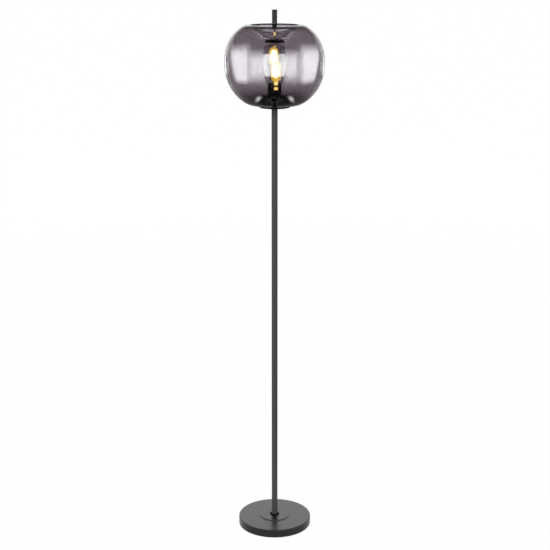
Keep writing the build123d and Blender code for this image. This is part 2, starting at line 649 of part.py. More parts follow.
def bulb_cap():
    """Screw cap: a thin cup turned in at its foot, rolled at its top edge."""
    turned_in = CAP_RADIUS - CAP_FOOT_LIP
    return lathe(
        (turned_in, CAP_LOW),
        (CAP_RADIUS, CAP_LOW, CAP_BEND),
        (CAP_RADIUS, CAP_TOP, CAP_WALL * LIP_ROUNDING),
        (CAP_RADIUS - CAP_WALL, CAP_TOP, CAP_WALL * LIP_ROUNDING),
        (CAP_RADIUS - CAP_WALL, CAP_LOW + CAP_WALL),
        (turned_in, CAP_LOW + CAP_WALL),
    )


def cap_insulator():
    """Dark glass cone between the cap and its contact tip."""
    rim = CAP_RADIUS - CAP_FOOT_LIP - SLIP
    high = CAP_LOW + CONE_SEAT
    return lathe((0, TIP_TOP), (CONE_TIP_RADIUS, TIP_TOP), (rim, CAP_LOW), (rim, high), (0, high))


def cap_contact():
    """Solder tip at the bulb's foot."""
    return lathe((0, BULB_TIP), (TIP_RADIUS, BULB_TIP, TIP_EDGE_RADIUS), (TIP_RADIUS, TIP_TOP), (0, TIP_TOP))


def filament_heights():
    """Top faces of the three spiders: the tiers of filaments stand on and hang from them."""
    low = CAP_TOP + FIRST_SPIDER_HEIGHT
    middle = low + FILAMENT_LENGTHS[0] + SPIDER_THICKNESS
    return low, middle, middle + FILAMENT_LENGTHS[1] + SPIDER_THICKNESS


def filament_turns():
    """Turn of each filament, and of the spider arms that hold it, about the stem."""
    return [Rot(0, 0, FIRST_FILAMENT_ANGLE + k * 360 / FILAMENTS_PER_TIER) for k in range(FILAMENTS_PER_TIER)]


def filament_stem():
    """Glass stem: flared foot in the neck, drawn up into the rod that carries the spiders."""
    foot = CAP_TOP - STEM_IN_CAP
    top = filament_heights()[2] + STEM_PROUD
    neck = NECK_RADIUS - BULB_WALL - SLIP
    radii = (neck - STEM_FOOT_TAPER, *STEM_WAIST_RADII, STEM_ROD_RADIUS)
    flare = [(radius, foot + height, corner) for radius, (height, corner) in zip(radii, STEM_FLARE)]
    return lathe((0, foot), (neck, foot, STEM_EDGE), *flare, (STEM_ROD_RADIUS, top, STEM_EDGE), (0, top))


def filament_spiders():
    """Three nickel spiders on the stem's rod, one arm for each filament."""
    spiders = []
    for height in filament_heights():
        middle = height - SPIDER_THICKNESS / 2
        hub = Pos(0, 0, middle) * Cylinder(SPIDER_HUB_RADIUS, SPIDER_THICKNESS)
        reach = FILAMENT_CIRCLE_RADIUS + FILAMENT_RADIUS
        for turn in filament_turns():
            hub += turn * Pos(reach / 2, 0, middle) * Box(reach, SPIDER_ARM_WIDTH, SPIDER_THICKNESS)
        spiders.append(drilled(hub, STEM_ROD_RADIUS + THREAD_SLIP, 0, 0, height - CUT_PAST, height + CUT_PAST))
    return Compound(children=spiders)


def led_filaments():
    """Two tiers of coated filaments, each seated between two spiders."""
    sticks = []
    for low, length in zip(filament_heights(), FILAMENT_LENGTHS):
        stick = Pos(FILAMENT_CIRCLE_RADIUS, 0, low + length / 2) * Cylinder(FILAMENT_RADIUS, length)
        sticks += [turn * stick for turn in filament_turns()]
    return Compound(children=sticks)


# ================================================================ globe
def globe_stations():
    """Outside of the glass: hole, funnel floor, funnel, crest, shoulders, lowest ring and upturned mouth."""
    hole = STUD_RADIUS + HOLE_SLIP + GLOBE_WALL / 2
    corner = (FUNNEL_FLOOR_RADIUS + FUNNEL_CORNER[0], FUNNEL_FLOOR + FUNNEL_CORNER[1])
    roll = (CREST_RADIUS - CREST_ROLL[0], CREST - CREST_ROLL[1])
    slope = math.degrees(math.atan2(roll[1] - corner[1], roll[0] - corner[0]))
    out, up = UPPER_FULLNESS
    upper = (CREST_RADIUS + out * (GLOBE_RADIUS - CREST_RADIUS), EQUATOR + up * (CREST - EQUATOR))
    out, down = LOWER_FULLNESS
    lower = (LOWEST_RING_RADIUS + out * (GLOBE_RADIUS - LOWEST_RING_RADIUS), EQUATOR - down * GLOBE_EQUATOR)
    return [
        (hole, FUNNEL_FLOOR, 0),
        (FUNNEL_FLOOR_RADIUS, FUNNEL_FLOOR, 0),
        (*corner, slope),
        (*roll, slope),
        (CREST_RADIUS, CREST, 0),
        (*upper, UPPER_SHOULDER_SLOPE),
        (GLOBE_RADIUS, EQUATOR, -90),
        (*lower, LOWER_SHOULDER_SLOPE),
        *mouth_stations(),
    ]


def globe_glass():
    """Blown globe of one even wall: funnelled crown, round body and a mouth turned up round the seat."""
    return spun_wall(globe_stations(), GLOBE_WALL)


def finial_pieces():
    """Rod and bush above the crown, on a thin stud held by a nut in the funnel and a plate below it."""
    radius = FINIAL_DIAMETER / 2
    bore = STUD_RADIUS + THREAD_SLIP
    hole = bore + HOLE_SLIP
    stud_low, stud_top = PLATE_LOW + STUD_SINK, FINIAL_LOW + STUD_ENGAGEMENT
    washer_top = FUNNEL_FLOOR + UPPER_WASHER_THICKNESS
    rod = lathe((0, FINIAL_LOW), (radius, FINIAL_LOW), (radius, FINIAL_TOP, FINIAL_EDGE_RADIUS),
                (0, FINIAL_TOP))
    plate, (below, above) = FINIAL_PLATE_DIAMETER / 2, FINIAL_PLATE_EDGE_RADII
    return {
        "finial_rod": drilled(rod, bore, 0, 0, FINIAL_LOW, stud_top + STUD_HOLE_SPARE),
        "finial_bush": lathe((bore, BUSH_LOW), (radius, BUSH_LOW, FINIAL_EDGE_RADIUS), (radius, FINIAL_LOW),
                             (bore, FINIAL_LOW)),
        "finial_stud": lathe((0, stud_low), (STUD_RADIUS, stud_low), (STUD_RADIUS, stud_top), (0, stud_top)),
        "finial_nut": hex_nut(FINIAL_NUT_ACROSS_FLATS, bore, washer_top, FINIAL_NUT_HEIGHT),
        "funnel_washer": tube(UPPER_WASHER_DIAMETER / 2, hole, FUNNEL_FLOOR, washer_top, TUBE_EDGE),
        "plate_washer": tube(FUNNEL_FLOOR_RADIUS - LOWER_WASHER_INSET, hole, PLATE_TOP,
                             PLATE_TOP + LOWER_WASHER_THICKNESS),
        "finial_plate": lathe((bore, PLATE_LOW), (plate, PLATE_LOW, below), (plate, PLATE_TOP, above),
                              (bore, PLATE_TOP)),
    }


# ================================================================ assembly
def all_pieces():
    pieces = {
        "base_pad": base_pad(),
        "base_weight": base_weight(),
        "base_cover": base_cover(),
        "cord_grommet": cord_grommet(),
        "foot_washer": foot_washer(),
        "holder_dish": holder_dish(),
        "globe_seat": globe_seat(),
        "seat_spacer": seat_spacer(),
        "globe_gasket": globe_gasket(),
        "lampholder_sleeve": lampholder_sleeve(),
        "lampholder_insulator": lampholder_insulator(),
        "lampholder_ring": lampholder_ring(),
        "screw_shell": screw_shell(),
        "centre_contact": centre_contact(),
        "terminal_screws": terminal_screws(),
        "bulb_glass": bulb_glass(),
        "bulb_cap": bulb_cap(),
        "cap_insulator": cap_insulator(),
        "cap_contact": cap_contact(),
        "filament_stem": filament_stem(),
        "filament_spiders": filament_spiders(),
        "led_filaments": led_filaments(),
        "globe_glass": globe_glass(),
    }
    for group in (base_fixings(), pole_pieces(), head_fixings(), finial_pieces()):
        pieces.update(group)
    return pieces


os.makedirs("parts", exist_ok=True)
for name, piece in all_pieces().items():
    export_step(piece, f"parts/{name}.step")
print("height", round(FINIAL_TOP, 2), "globe", GLOBE_DIAMETER, "pole top", round(POLE_TOP, 2))
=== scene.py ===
# %% [markdown]
# # A globe floor lamp, made look by look
# The CAD model already holds every piece of the lamp in its right place: a weighted foot, a jointed pole,
# a holder, a lampholder with its filament bulb and a blown glass globe. This notebook loads that model as a
# fixed frame and gives each piece its surface and its finish. Where the real piece has a shape that the CAD
# leaves plain, such as a rolled thread or a phosphor coat, a new surface is worked out with numpy and stands
# in the CAD piece's place.

import bmesh
import bpy
import numpy as np
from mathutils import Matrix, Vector


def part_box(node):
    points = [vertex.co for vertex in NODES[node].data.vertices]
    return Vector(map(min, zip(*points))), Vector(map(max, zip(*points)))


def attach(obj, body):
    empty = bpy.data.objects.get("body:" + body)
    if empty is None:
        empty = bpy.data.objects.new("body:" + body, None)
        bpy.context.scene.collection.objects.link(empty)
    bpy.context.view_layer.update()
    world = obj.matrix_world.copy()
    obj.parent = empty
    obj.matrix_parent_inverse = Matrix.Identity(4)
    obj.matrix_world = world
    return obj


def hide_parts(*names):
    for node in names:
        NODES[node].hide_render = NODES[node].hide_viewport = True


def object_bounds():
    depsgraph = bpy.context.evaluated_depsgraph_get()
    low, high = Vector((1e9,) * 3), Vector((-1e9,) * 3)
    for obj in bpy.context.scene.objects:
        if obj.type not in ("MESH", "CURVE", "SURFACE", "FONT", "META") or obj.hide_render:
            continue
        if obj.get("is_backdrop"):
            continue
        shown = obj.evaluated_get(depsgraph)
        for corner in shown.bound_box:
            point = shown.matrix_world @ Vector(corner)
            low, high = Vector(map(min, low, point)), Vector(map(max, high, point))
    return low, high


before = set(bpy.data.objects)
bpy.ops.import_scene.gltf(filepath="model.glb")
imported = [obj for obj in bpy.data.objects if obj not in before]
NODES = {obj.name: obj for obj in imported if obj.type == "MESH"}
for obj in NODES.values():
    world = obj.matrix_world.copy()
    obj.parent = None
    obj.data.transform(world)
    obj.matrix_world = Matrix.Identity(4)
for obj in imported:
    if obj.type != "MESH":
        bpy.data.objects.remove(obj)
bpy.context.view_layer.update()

# %% [markdown]
# ## The camera
# The lamp was photographed from about three and a half metres away and a little above its globe, with a
# lens that keeps upright lines upright enough to read the pole as straight. The camera is tilted down and
# not shifted, because the globe's crown and the foot's top are both seen from above. It comes first, so
# that each later look is judged from the same place.

# %% Place the camera
CAMERA_PLACE = (0.0012, -3.537, 1.765)
CAMERA_TILT = 74.97  # degrees up from looking straight down
LENS_MM, SENSOR_MM = 79.3, 36
FAR_CLIP = 200  # metres, past the far edge of the floor

camera = bpy.data.objects.new("camera", bpy.data.cameras.new("camera"))
camera.location = CAMERA_PLACE
camera.rotation_euler = (np.radians(CAMERA_TILT), 0, 0)
camera.data.lens = LENS_MM
camera.data.sensor_width = SENSOR_MM
camera.data.clip_end = FAR_CLIP
bpy.context.scene.collection.objects.link(camera)
bpy.context.scene.camera = camera
bpy.context.scene.view_settings.view_transform = "Standard"
print("camera at", CAMERA_PLACE, "m, tilted", round(90 - CAMERA_TILT, 2), "degrees down, lens", LENS_MM, "mm")

# %% [markdown]
# ## Sizes come from the frame
# A new surface has to sit exactly where its CAD piece does. So its radius and its heights are read from that
# piece's box, and only what a box can't tell, such as a wall or a bend, is a number of its own. Sizes are in
# millimetres up to the point where a mesh is made, because that is how a workshop writes them.

# %% A piece's radius and heights
def size_of(name):
    """A CAD piece's half width, foot and head in mm, to a hundredth."""
    low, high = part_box(name)
    half_width, foot, head = (round(metres * 1000, 2) + 0.0 for metres in (high[0], low[2], high[2]))
    print(f"{name}: {half_width} to each side, from {foot} up to {head} mm")
    return half_width, foot, head


# %% [markdown]
# ## Surfaces from two parameters
# Nearly everything on this lamp is round, so one kind of surface serves most of it: an outline carried round
# the upright axis. A grid of points has one row for each point of the outline and one column for each
# angle, and its faces join neighbours in the grid. A row that lies on the axis closes into a single point.

# %% The faces of a grid
def grid_faces(rows, columns, closed_rows=False):
    """Four-cornered faces of a grid whose columns close into a ring, and whose rows may close too."""
    row = np.arange(rows if closed_rows else rows - 1)[:, None] * columns
    column = np.arange(columns)[None, :]
    ahead, above = (column + 1) % columns, (row + columns) % (rows * columns)
    return np.stack([row + column, row + ahead, above + ahead, above + column], -1).reshape(-1, 4)


def volume(vertices, faces):
    """Sum over each face's two triangles of a . (b x c), over six. Below zero if the faces point inwards."""
    a, b, c, d = (vertices[faces[:, corner]] for corner in range(4))
    return (np.einsum("ij,ij->i", a, np.cross(b, c)) + np.einsum("ij,ij->i", a, np.cross(c, d))).sum() / 6


print("a band of 2 rows and 4 columns has the faces", grid_faces(2, 4).tolist())


# %% A piece made of grids
WELD = 1e-6  # metres within which two points become one


def piece(name, points, body, stands_for, closed_rows=False, sharp=40):
    """A mesh object from grids of points (grids, rows, columns, 3) in metres, its faces pointing outwards.
    An edge that turns by more than sharp degrees stays crisp."""
    grids = np.asarray(points, float).reshape(-1, *np.shape(points)[-3:])
    count, rows, columns = grids.shape[:3]
    vertices = grids.reshape(-1, 3)
    one_grid = grid_faces(rows, columns, closed_rows)
    if volume(vertices, one_grid) < 0:
        one_grid = one_grid[:, ::-1]
    faces = (one_grid + np.arange(count)[:, None, None] * rows * columns).reshape(-1, 4)
    mesh = bpy.data.meshes.new(name)
    mesh.from_pydata(vertices, [], faces)
    welded = bmesh.new()
    welded.from_mesh(mesh)
    bmesh.ops.remove_doubles(welded, verts=welded.verts, dist=WELD)
    welded.to_mesh(mesh)
    welded.free()
    mesh.shade_smooth()
    mesh.set_sharp_from_angle(angle=np.radians(sharp))
    made = bpy.data.objects.new(name, mesh)
    bpy.context.scene.collection.objects.link(made)
    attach(made, body)
    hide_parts(stands_for)
    print(f"{name}: {len(mesh.vertices)} points, {abs(volume(vertices, faces)) * 1e6:.2f} cm3")
    return made


def turned(outline, around=160, wave=0.0):
    """x = (r + wave) cos a, y = (r + wave) sin a, z, for each (r, z) of an outline in mm and each angle a."""
    angle = np.linspace(0, 2 * np.pi, around, endpoint=False)
    r, z = outline[:, 0, None] + wave, outline[:, 1, None] + 0 * angle
    return np.stack([r * np.cos(angle), r * np.sin(angle), z], -1) / 1000


print("a point 10 mm out, a quarter turn on:", turned(np.array([(10, 5)]), 4)[0, 1].round(3).tolist(), "m")

# %% [markdown]
# ## Outlines that bend without a kink
# A glass blower's shape has no corners. Each path is given as a few stations, a radius, a height and the
# direction in which the wall is heading there, and two circular arcs join each pair of stations so that the
# direction never jumps. A wall follows at an even distance to the right of the path, and each open end is
# rounded by half a circle, as a fire-polished rim is.

# %% Arcs through stations
def ray(degrees):
    """Unit vectors (r, z) at angles from outwards towards up."""
    return np.stack([np.cos(np.radians(degrees)), np.sin(np.radians(degrees))], -1)


def arcs(start, heading, end, share):
    """Points and headings on arcs from start to end. The chord to a share of an arc points half the turn made
    so far from the first heading, and is sin(share x half turn) / sin(half turn) of the whole chord."""
    chord = end - start
    half = (np.degrees(np.arctan2(chord[:, 1], chord[:, 0])) - heading + 180) % 360 - 180
    bend = np.radians(half)[:, None] / np.pi
    reach = np.hypot(*chord.T)[:, None] * share * np.sinc(bend * share) / np.sinc(bend)
    points = start[:, None] + reach[..., None] * ray(heading[:, None] + half[:, None] * share)
    return points, heading[:, None] + 2 * half[:, None] * share


def smooth_path(stations, steps=6):
    """Points and headings along two arcs between each pair of stations (r, z, heading). The arcs meet where
    lines of equal length, drawn ahead from the first station and back from the second, have their ends
    midway between them."""
    r, z, heading = np.array(stations, float).T
    place, way = np.stack([r, z], 1), ray(heading)
    step, apart = place[1:] - place[:-1], way[:-1] - way[1:]
    along = (step * (way[:-1] + way[1:])).sum(1)
    reach = (step**2).sum(1)
    tangent = reach / (along + np.sqrt(along**2 + (apart**2).sum(1) * reach))
    joint = (place[:-1] + place[1:] + tangent[:, None] * apart) / 2
    share = np.linspace(0, 1, steps, endpoint=False)
    first, headings = arcs(place[:-1], heading[:-1], joint, share)
    _, at_joint = arcs(place[:-1], heading[:-1], joint, np.ones(1))
    second, more = arcs(joint, at_joint[:, 0], place[1:], share)
    points = np.stack([first, second], 1).reshape(-1, 2)
    turns = np.stack([headings, more], 1).reshape(-1)
    return np.vstack([points, place[-1:]]), np.append(turns, heading[-1])


quarter = smooth_path([(1, 0, 90), (0, 1, 180)])[0]
print("a quarter circle strays from its radius by", abs(np.hypot(*quarter.T) - 1).max().round(9))


# %% A wall beside a path
def wall_outline(stations, wall, rim_start=True, steps=6):
    """Closed outline of a wall to the right of a path, its ends rounded by half circles."""
    outside, heading = smooth_path(stations, steps)
    inside = outside + wall * ray(heading - 90)
    bend = np.linspace(0, 180, 9)[1:-1]
    rim_end = (outside[-1] + inside[-1]) / 2 + wall / 2 * ray(heading[-1] + 90 - bend)
    parts = [outside, rim_end, inside[::-1]]
    if rim_start:
        parts.append((outside[0] + inside[0]) / 2 + wall / 2 * ray(heading[0] - 90 - bend))
    return np.vstack(parts)


straight = wall_outline([(10, 0, 90), (10, 20, 90)], 2)
print("a straight wall 2 mm thick runs from", straight[:, 0].min(), "to", straight[:, 0].max(), "mm out")

# %% [markdown]
# ## The blown globe
# The globe is one bubble of smoked glass. It was blown into a mould, so its wall is nearly even; its crown
# was pushed in to a funnel that holds the finial's stud, and its mouth was turned up into the bubble so that
# the polished lip is hidden behind the holder. A sphere with two holes would miss both, so the whole wall is
# one outline, from the stud's hole over the crest and round the belly to the lip inside.

# %% The globe's wall
GLOBE_RADIUS, GLOBE_LOW, CREST = size_of("globe_glass")
FUNNEL_FLOOR = size_of("funnel_washer")[1]
EQUATOR = GLOBE_LOW + 121.5
CREST_RADIUS = 74.1
FUNNEL_SLOPE = 44.03  # degrees up, going outwards
GLOBE_WALL = 3.5

globe_path = [
    (5.05, FUNNEL_FLOOR, 0),  # rim of the stud's hole
    (27, FUNNEL_FLOOR, 0),  # edge of the funnel's flat floor
    (35, FUNNEL_FLOOR + 3.3, FUNNEL_SLOPE),  # foot of its cone
    (CREST_RADIUS - 9, CREST - 8, FUNNEL_SLOPE),  # head of its cone
    (CREST_RADIUS, CREST, 0),
    (115.55, EQUATOR + 85.6, -46.3),  # shoulder
    (GLOBE_RADIUS, EQUATOR, -90),
    (115.3, EQUATOR - 87.97, -130),  # flank
    (56, GLOBE_LOW, -180),  # lowest ring
    (48.3, GLOBE_LOW + 7, -248),  # the mouth's bend
    (45.6, GLOBE_LOW + 22.5, -264),  # its lip
]
globe = piece("blown_globe", turned(wall_outline(globe_path, GLOBE_WALL), around=176), "globe",
              "globe_glass", closed_rows=True, sharp=180)

# %% [markdown]
# ## How much smoke
# The tint is smoke in the glass, and here its amount is not even. The funnel gets far less of it, which is
# painted light there, and a ring on the shoulder just outside the crest gets more, which is painted shade
# along the crest. Round the mouth that was turned up the glass is darker still. The amount of smoke is worked
# out for each point from its radius and height and kept on the mesh as a colour, so that the finish can
# follow the glass.

# %% A coat that thins and gathers
# the funnel's thin smoke is painted light, and the shoulder's swell is painted shade along the crest
BELLY_SMOKE, FUNNEL_SMOKE_PAINTED_LIGHT, SHOULDER_PAINTED_SHADE, MOUTH_SMOKE = 1.0, 0.2, 0.6, 1.4
SMOKE_HUE = np.array([1, 1.1, 1.03])  # green is held back most, which leaves a lilac grey
FUNNEL_EDGE, FUNNEL_SOFTNESS = 73.0, 2.5  # radius where the coat thins, and over how much it does
SHOULDER_MIDDLE, SHOULDER_WIDTH = 88, 9  # radii
MOUTH_TOP, MOUTH_SOFTNESS = 1352, 6  # height below which the coat gathers


def swell(value, middle, width):
    """1 at the middle, falling as a bell to each side."""
    return np.exp(-((value - middle) / width) ** 2)


def below(value, edge, softness):
    """1 well below the edge, a half at it and 0 well above it, along an S."""
    return 1 / (1 + np.exp((value - edge) / softness))


def smoke_with_painted_light_and_shade(vertices):
    """What one wall lets through: exp(-amount x hue), the amount being even on the belly, thinner in the
    funnel as painted light, with a swell outside the crest as painted shade and more of it from the underside
    to the lip."""
    r, z = np.hypot(vertices[:, 0], vertices[:, 1]) * 1000, vertices[:, 2] * 1000
    upper = z > EQUATOR
    funnel = below(r, FUNNEL_EDGE, FUNNEL_SOFTNESS) * upper
    # painted light: the funnel is made nearly clear
    amount = BELLY_SMOKE * (1 - funnel) + FUNNEL_SMOKE_PAINTED_LIGHT * funnel
    # painted shade: a dark ring on the shoulder just outside the crest
    amount += SHOULDER_PAINTED_SHADE * swell(r, SHOULDER_MIDDLE, SHOULDER_WIDTH) * upper
    amount += MOUTH_SMOKE * below(z, MOUTH_TOP, MOUTH_SOFTNESS)
    return np.exp(-amount[:, None] * SMOKE_HUE)


points = np.empty(len(globe.data.vertices) * 3)
globe.data.vertices.foreach_get("co", points)
shade = smoke_with_painted_light_and_shade(points.reshape(-1, 3))
coat = globe.data.attributes.new("smoke", "FLOAT_COLOR", "POINT")
coat.data.foreach_set("color", np.column_stack([shade, np.ones(len(shade))]).ravel())
print("one wall lets through from", shade.min().round(2), "to", shade.max().round(2))

# %% [markdown]
# ## The bulb's glass
# The bulb is clear glass less than a millimetre thick, flat on top, straight at the shoulders and drawn in
# to a neck that is cemented into the cap. It is made like the globe, but its path starts on the axis, so
# both skins close in a point at the crown.

# %% The bulb's wall
BULB_RADIUS, _, BULB_TOP = size_of("bulb_glass")
CAP_RADIUS, CAP_LOW, CAP_TOP = size_of("bulb_cap")
NECK_RADIUS = 12.5
BULB_WALL = 0.9

bulb_path = [
    (0, BULB_TOP, 0),
    (25.56, BULB_TOP - 6.5, -36),  # the crown's edge
    (30.885, BULB_TOP - 19, -77),
    (BULB_RADIUS, BULB_TOP - 61.5, -90),
    (27.51, CAP_TOP + 20, -112),  # drawn in to the neck
    (22.365, CAP_TOP + 7.4, -130),
    (NECK_RADIUS, CAP_TOP + 0.4, -90),
    (NECK_RADIUS, CAP_TOP - 6, -90),
]
bulb_wall = wall_outline(bulb_path, BULB_WALL, rim_start=False)
bulb = piece("bulb_envelope", turned(bulb_wall, around=128), "bulb", "bulb_glass", sharp=180)

# %% [markdown]
# ## Rolled threads
# The lamp is held together by hollow studs with a fine thread, and the bulb by a coarse round one. A thread
# is the piece's own round wall whose radius rises and falls as it climbs: the wave's phase moves on by one
# turn for each turn round the axis, which is what makes it a helix and not a stack of rings. Near the ends
# the wave fades out, as a rolled thread runs out into the plain shank.

# %% A wall with a helical wave
SKIN_MARGIN = 0.05  # tells a skin's radius from whatever lies further in


def threaded(outline, low, high, pitch, depth, around, fade=1.0, inner=0.0):
    """The turned outline with its radius lowered by depth x (1 - cos(2 pi z / pitch - a)) / 2 between two
    heights, fading over a length at each end, for points no nearer to the axis than inner."""
    angle = np.linspace(0, 2 * np.pi, around, endpoint=False)
    r, z = outline[:, 0, None], outline[:, 1, None]
    share = np.clip(np.minimum(z - low, high - z) / fade, 0, 1) * (r >= inner)
    wave = -depth * share * (1 - np.cos(2 * np.pi * z / pitch - angle)) / 2
    return turned(outline, around, wave)


def rise(radius, low, high, step):
    """Points up a straight wall, evenly spaced and no further apart than a step."""
    steps = int(np.ceil((high - low) / step - 1e-6))
    z = np.linspace(low, high, steps + 1)
    return np.stack([np.full_like(z, radius), z], 1)


print("a wall 1 mm tall in steps of 0.3 mm has", len(rise(5, 0, 1, 0.3)), "points")


# %% The hollow studs
FINE_PITCH = 1.0
FINE_STEP = FINE_PITCH / 6
STUD_BORE, STUD_EDGE = 3.5, 0.5
studs = []
for name, node_name in (("threaded_base_stud", "base_stud"), ("threaded_joint_stud", "pole_joint_stud"),
                        ("threaded_head_stud", "head_stud")):
    radius, low, high = size_of(node_name)
    outline = np.vstack([
        rise(radius, low + STUD_EDGE, high - STUD_EDGE, FINE_STEP),
        [(radius - STUD_EDGE, high)],
        rise(STUD_BORE, low, high, high - low)[::-1],
        [(radius - STUD_EDGE, low)],
    ])
    wall = threaded(outline, low + STUD_EDGE, high - STUD_EDGE, FINE_PITCH, depth=0.55, around=28,
                    inner=radius - SKIN_MARGIN)
    studs.append(piece(name, wall, "stand", node_name, closed_rows=True, sharp=60))

# %% The finial's stud
radius, low, high = size_of("finial_stud")
outline = np.vstack([[(0, low)], rise(radius, low, high, FINE_STEP), [(0, high)]])
finial_stud = piece("threaded_finial_stud", threaded(outline, low, high, FINE_PITCH, depth=0.5, around=24),
                    "globe", "finial_stud", sharp=60)

# %% [markdown]
# ## The bulb's cap and its shell
# The cap is thin sheet rolled into a round thread of 3.6 mm pitch, with a plain collar where the glass is
# cemented in. Its wall is one sheet, so both skins carry the same wave. The shell in the lampholder is
# rolled with a shallower wave, so that the cap turns freely in it.

# %% The cap
CAP_PITCH, CAP_STEP, CAP_FADE, CAP_AROUND = 3.6, 0.3, 1.5, 96
CAP_WALL, CAP_LIP, CAP_DEPTH = 0.4, 1.2, 0.8  # depth of the thread
CAP_PLAIN = (1.2, 6.5)  # below the thread, and the collar above it
CAP_CORNER, CAP_CORNER_MIDDLE = 0.5, 0.15  # radius of the rounded foot, and its middle's depth in the corner
CAP_RIM = 0.2  # bevel round the head

cap_outline = np.vstack([
    [(CAP_RADIUS - CAP_LIP, CAP_LOW), (CAP_RADIUS - CAP_CORNER, CAP_LOW),
     (CAP_RADIUS - CAP_CORNER_MIDDLE, CAP_LOW + CAP_CORNER_MIDDLE)],
    rise(CAP_RADIUS, CAP_LOW + CAP_CORNER, CAP_TOP - CAP_RIM, CAP_STEP),
    [(CAP_RADIUS - CAP_RIM, CAP_TOP)],
    rise(CAP_RADIUS - CAP_WALL, CAP_LOW + CAP_WALL, CAP_TOP - CAP_RIM, CAP_STEP)[::-1],
    [(CAP_RADIUS - CAP_LIP, CAP_LOW + CAP_WALL)],
])
cap_wall = threaded(cap_outline, CAP_LOW + CAP_PLAIN[0], CAP_TOP - CAP_PLAIN[1], CAP_PITCH, CAP_DEPTH,
                    CAP_AROUND, CAP_FADE, inner=CAP_RADIUS - CAP_WALL - SKIN_MARGIN)
bulb_cap = piece("rolled_cap", cap_wall, "bulb", "bulb_cap", closed_rows=True, sharp=70)

# %% The shell that it screws into
SHELL_RADIUS, SHELL_LOW, SHELL_TOP = size_of("screw_shell")
SHELL_WALL, SHELL_LEDGE, SHELL_DEPTH = 0.5, 3.0, 0.28
SHELL_PLAIN = (1.5, 1.0)  # below the thread, and above it
SHELL_CORNER, SHELL_CORNER_MIDDLE = 0.4, 0.12

shell_outline = np.vstack([
    [(SHELL_RADIUS - SHELL_LEDGE, SHELL_LOW), (SHELL_RADIUS - SHELL_CORNER, SHELL_LOW),
     (SHELL_RADIUS - SHELL_CORNER_MIDDLE, SHELL_LOW + SHELL_CORNER_MIDDLE)],
    rise(SHELL_RADIUS, SHELL_LOW + SHELL_CORNER, SHELL_TOP, CAP_STEP),
    rise(SHELL_RADIUS - SHELL_WALL, SHELL_LOW + SHELL_WALL, SHELL_TOP, CAP_STEP)[::-1],
    [(SHELL_RADIUS - SHELL_LEDGE, SHELL_LOW + SHELL_WALL)],
])
shell_wall = threaded(shell_outline, SHELL_LOW + SHELL_PLAIN[0], SHELL_TOP - SHELL_PLAIN[1], CAP_PITCH,
                      SHELL_DEPTH, CAP_AROUND, CAP_FADE, inner=SHELL_RADIUS - SHELL_WALL - SKIN_MARGIN)
shell = piece("rolled_shell", shell_wall, "stand", "screw_shell", closed_rows=True, sharp=70)

# %% [markdown]
# ## Coated filaments
# Each filament is a row of tiny diodes on a strip, dipped in yellow phosphor: a rounded stick with a bare
# metal tab at each end, welded to a spider's arm. The CAD has plain sticks. Here each is an outline turned
# about its own axis, thin at its tabs and full in its coat, and eight copies stand on the same circle.

# %% Places in two tiers
FILAMENT_CIRCLE = 7.5
LOWER_FILAMENT, SPIDER = 39.0, 0.6  # length, and thickness of the spider between the tiers
_, filaments_low, filaments_high = size_of("led_filaments")
middle = filaments_low + LOWER_FILAMENT
tiers = ((filaments_low, middle), (middle + SPIDER, filaments_high))
turn = np.radians(45 + 90 * np.arange(4))
centres = FILAMENT_CIRCLE / 1000 * np.stack([np.cos(turn), np.sin(turn), 0 * turn], -1)


def sticks(radii, heights, around=16):
    """One turned outline, copied to the four places of a tier."""
    outline = np.stack([radii, heights], 1)
    return turned(outline, around)[None] + centres[:, None, None]


print("tiers at", [tuple(round(float(height), 2) for height in tier) for tier in tiers], "mm")

# %% The sticks and their tabs
COAT_RADIUS, TAB_RADIUS = 1.1, 0.4
TAB_BARE, TAB_IN_COAT = 2.0, 0.8

bend = np.radians(np.linspace(0, 90, 6))
coat_radii = COAT_RADIUS * np.concatenate([[0], np.sin(bend), np.cos(bend), [0]])
tab_radii = np.array([0, TAB_RADIUS, TAB_RADIUS, 0])
coats, tabs = [], []
for low, high in tiers:
    coat_low, coat_high = low + TAB_BARE, high - TAB_BARE
    coats.append(sticks(coat_radii, np.concatenate([
        [coat_low],
        coat_low + COAT_RADIUS * (1 - np.cos(bend)),
        coat_high - COAT_RADIUS * (1 - np.sin(bend)),
        [coat_high],
    ])))
    for foot, head in ((low, coat_low + TAB_IN_COAT), (coat_high - TAB_IN_COAT, high)):
        tabs.append(sticks(tab_radii, np.array([foot, foot, head, head])))
filaments = piece("coated_filaments", np.concatenate(coats), "bulb", "led_filaments")
filament_tabs = piece("filament_tabs", np.concatenate(tabs), "bulb", "led_filaments")

# %% [markdown]
# ## The felt under the foot
# A disc of felt keeps the iron off the floor. Felt is soft, so its rim rolls over and its face dimples a
# little. The disc is a turned outline whose underside waves by a tenth of a millimetre.

# %% The felt disc
FELT_RADIUS, FELT_LOW, FELT_TOP = size_of("base_pad")
RIM_ROLL = 0.9  # radius of the rolled rim
DIMPLE, DIMPLE_PHASE = 0.1, 1.7  # depth, and radians for each mm outwards
TOP_CLEAR = 0.02  # under the iron

rings = np.linspace(0, FELT_RADIUS - RIM_ROLL, 40)
rim = np.radians(np.linspace(-90, 90, 9))
rim_height = (FELT_LOW + FELT_TOP) / 2
felt_outline = np.vstack([
    np.stack([rings, FELT_LOW + DIMPLE * (1 + np.sin(rings * DIMPLE_PHASE))], 1),
    np.stack([FELT_RADIUS - RIM_ROLL * (1 - np.cos(rim)), rim_height + RIM_ROLL * np.sin(rim)], 1),
    np.stack([rings[::-1], np.full_like(rings, FELT_TOP - TOP_CLEAR)], 1),
])
felt_disc = piece("felt_disc", turned(felt_outline, around=144), "stand", "base_pad", sharp=80)

# %% [markdown]
# ## Finishes
# A finish is one Principled shader whose constants sit on its own sockets, and one or two patterns on the
# piece's Object coordinates, in metres, that vary what the real surface varies: the grain of a powder coat,
# the brushing of a turned tube, the faint waves of blown glass. A small helper adds a node and takes its
# inputs by name, so that each finish reads as a list of what it is.

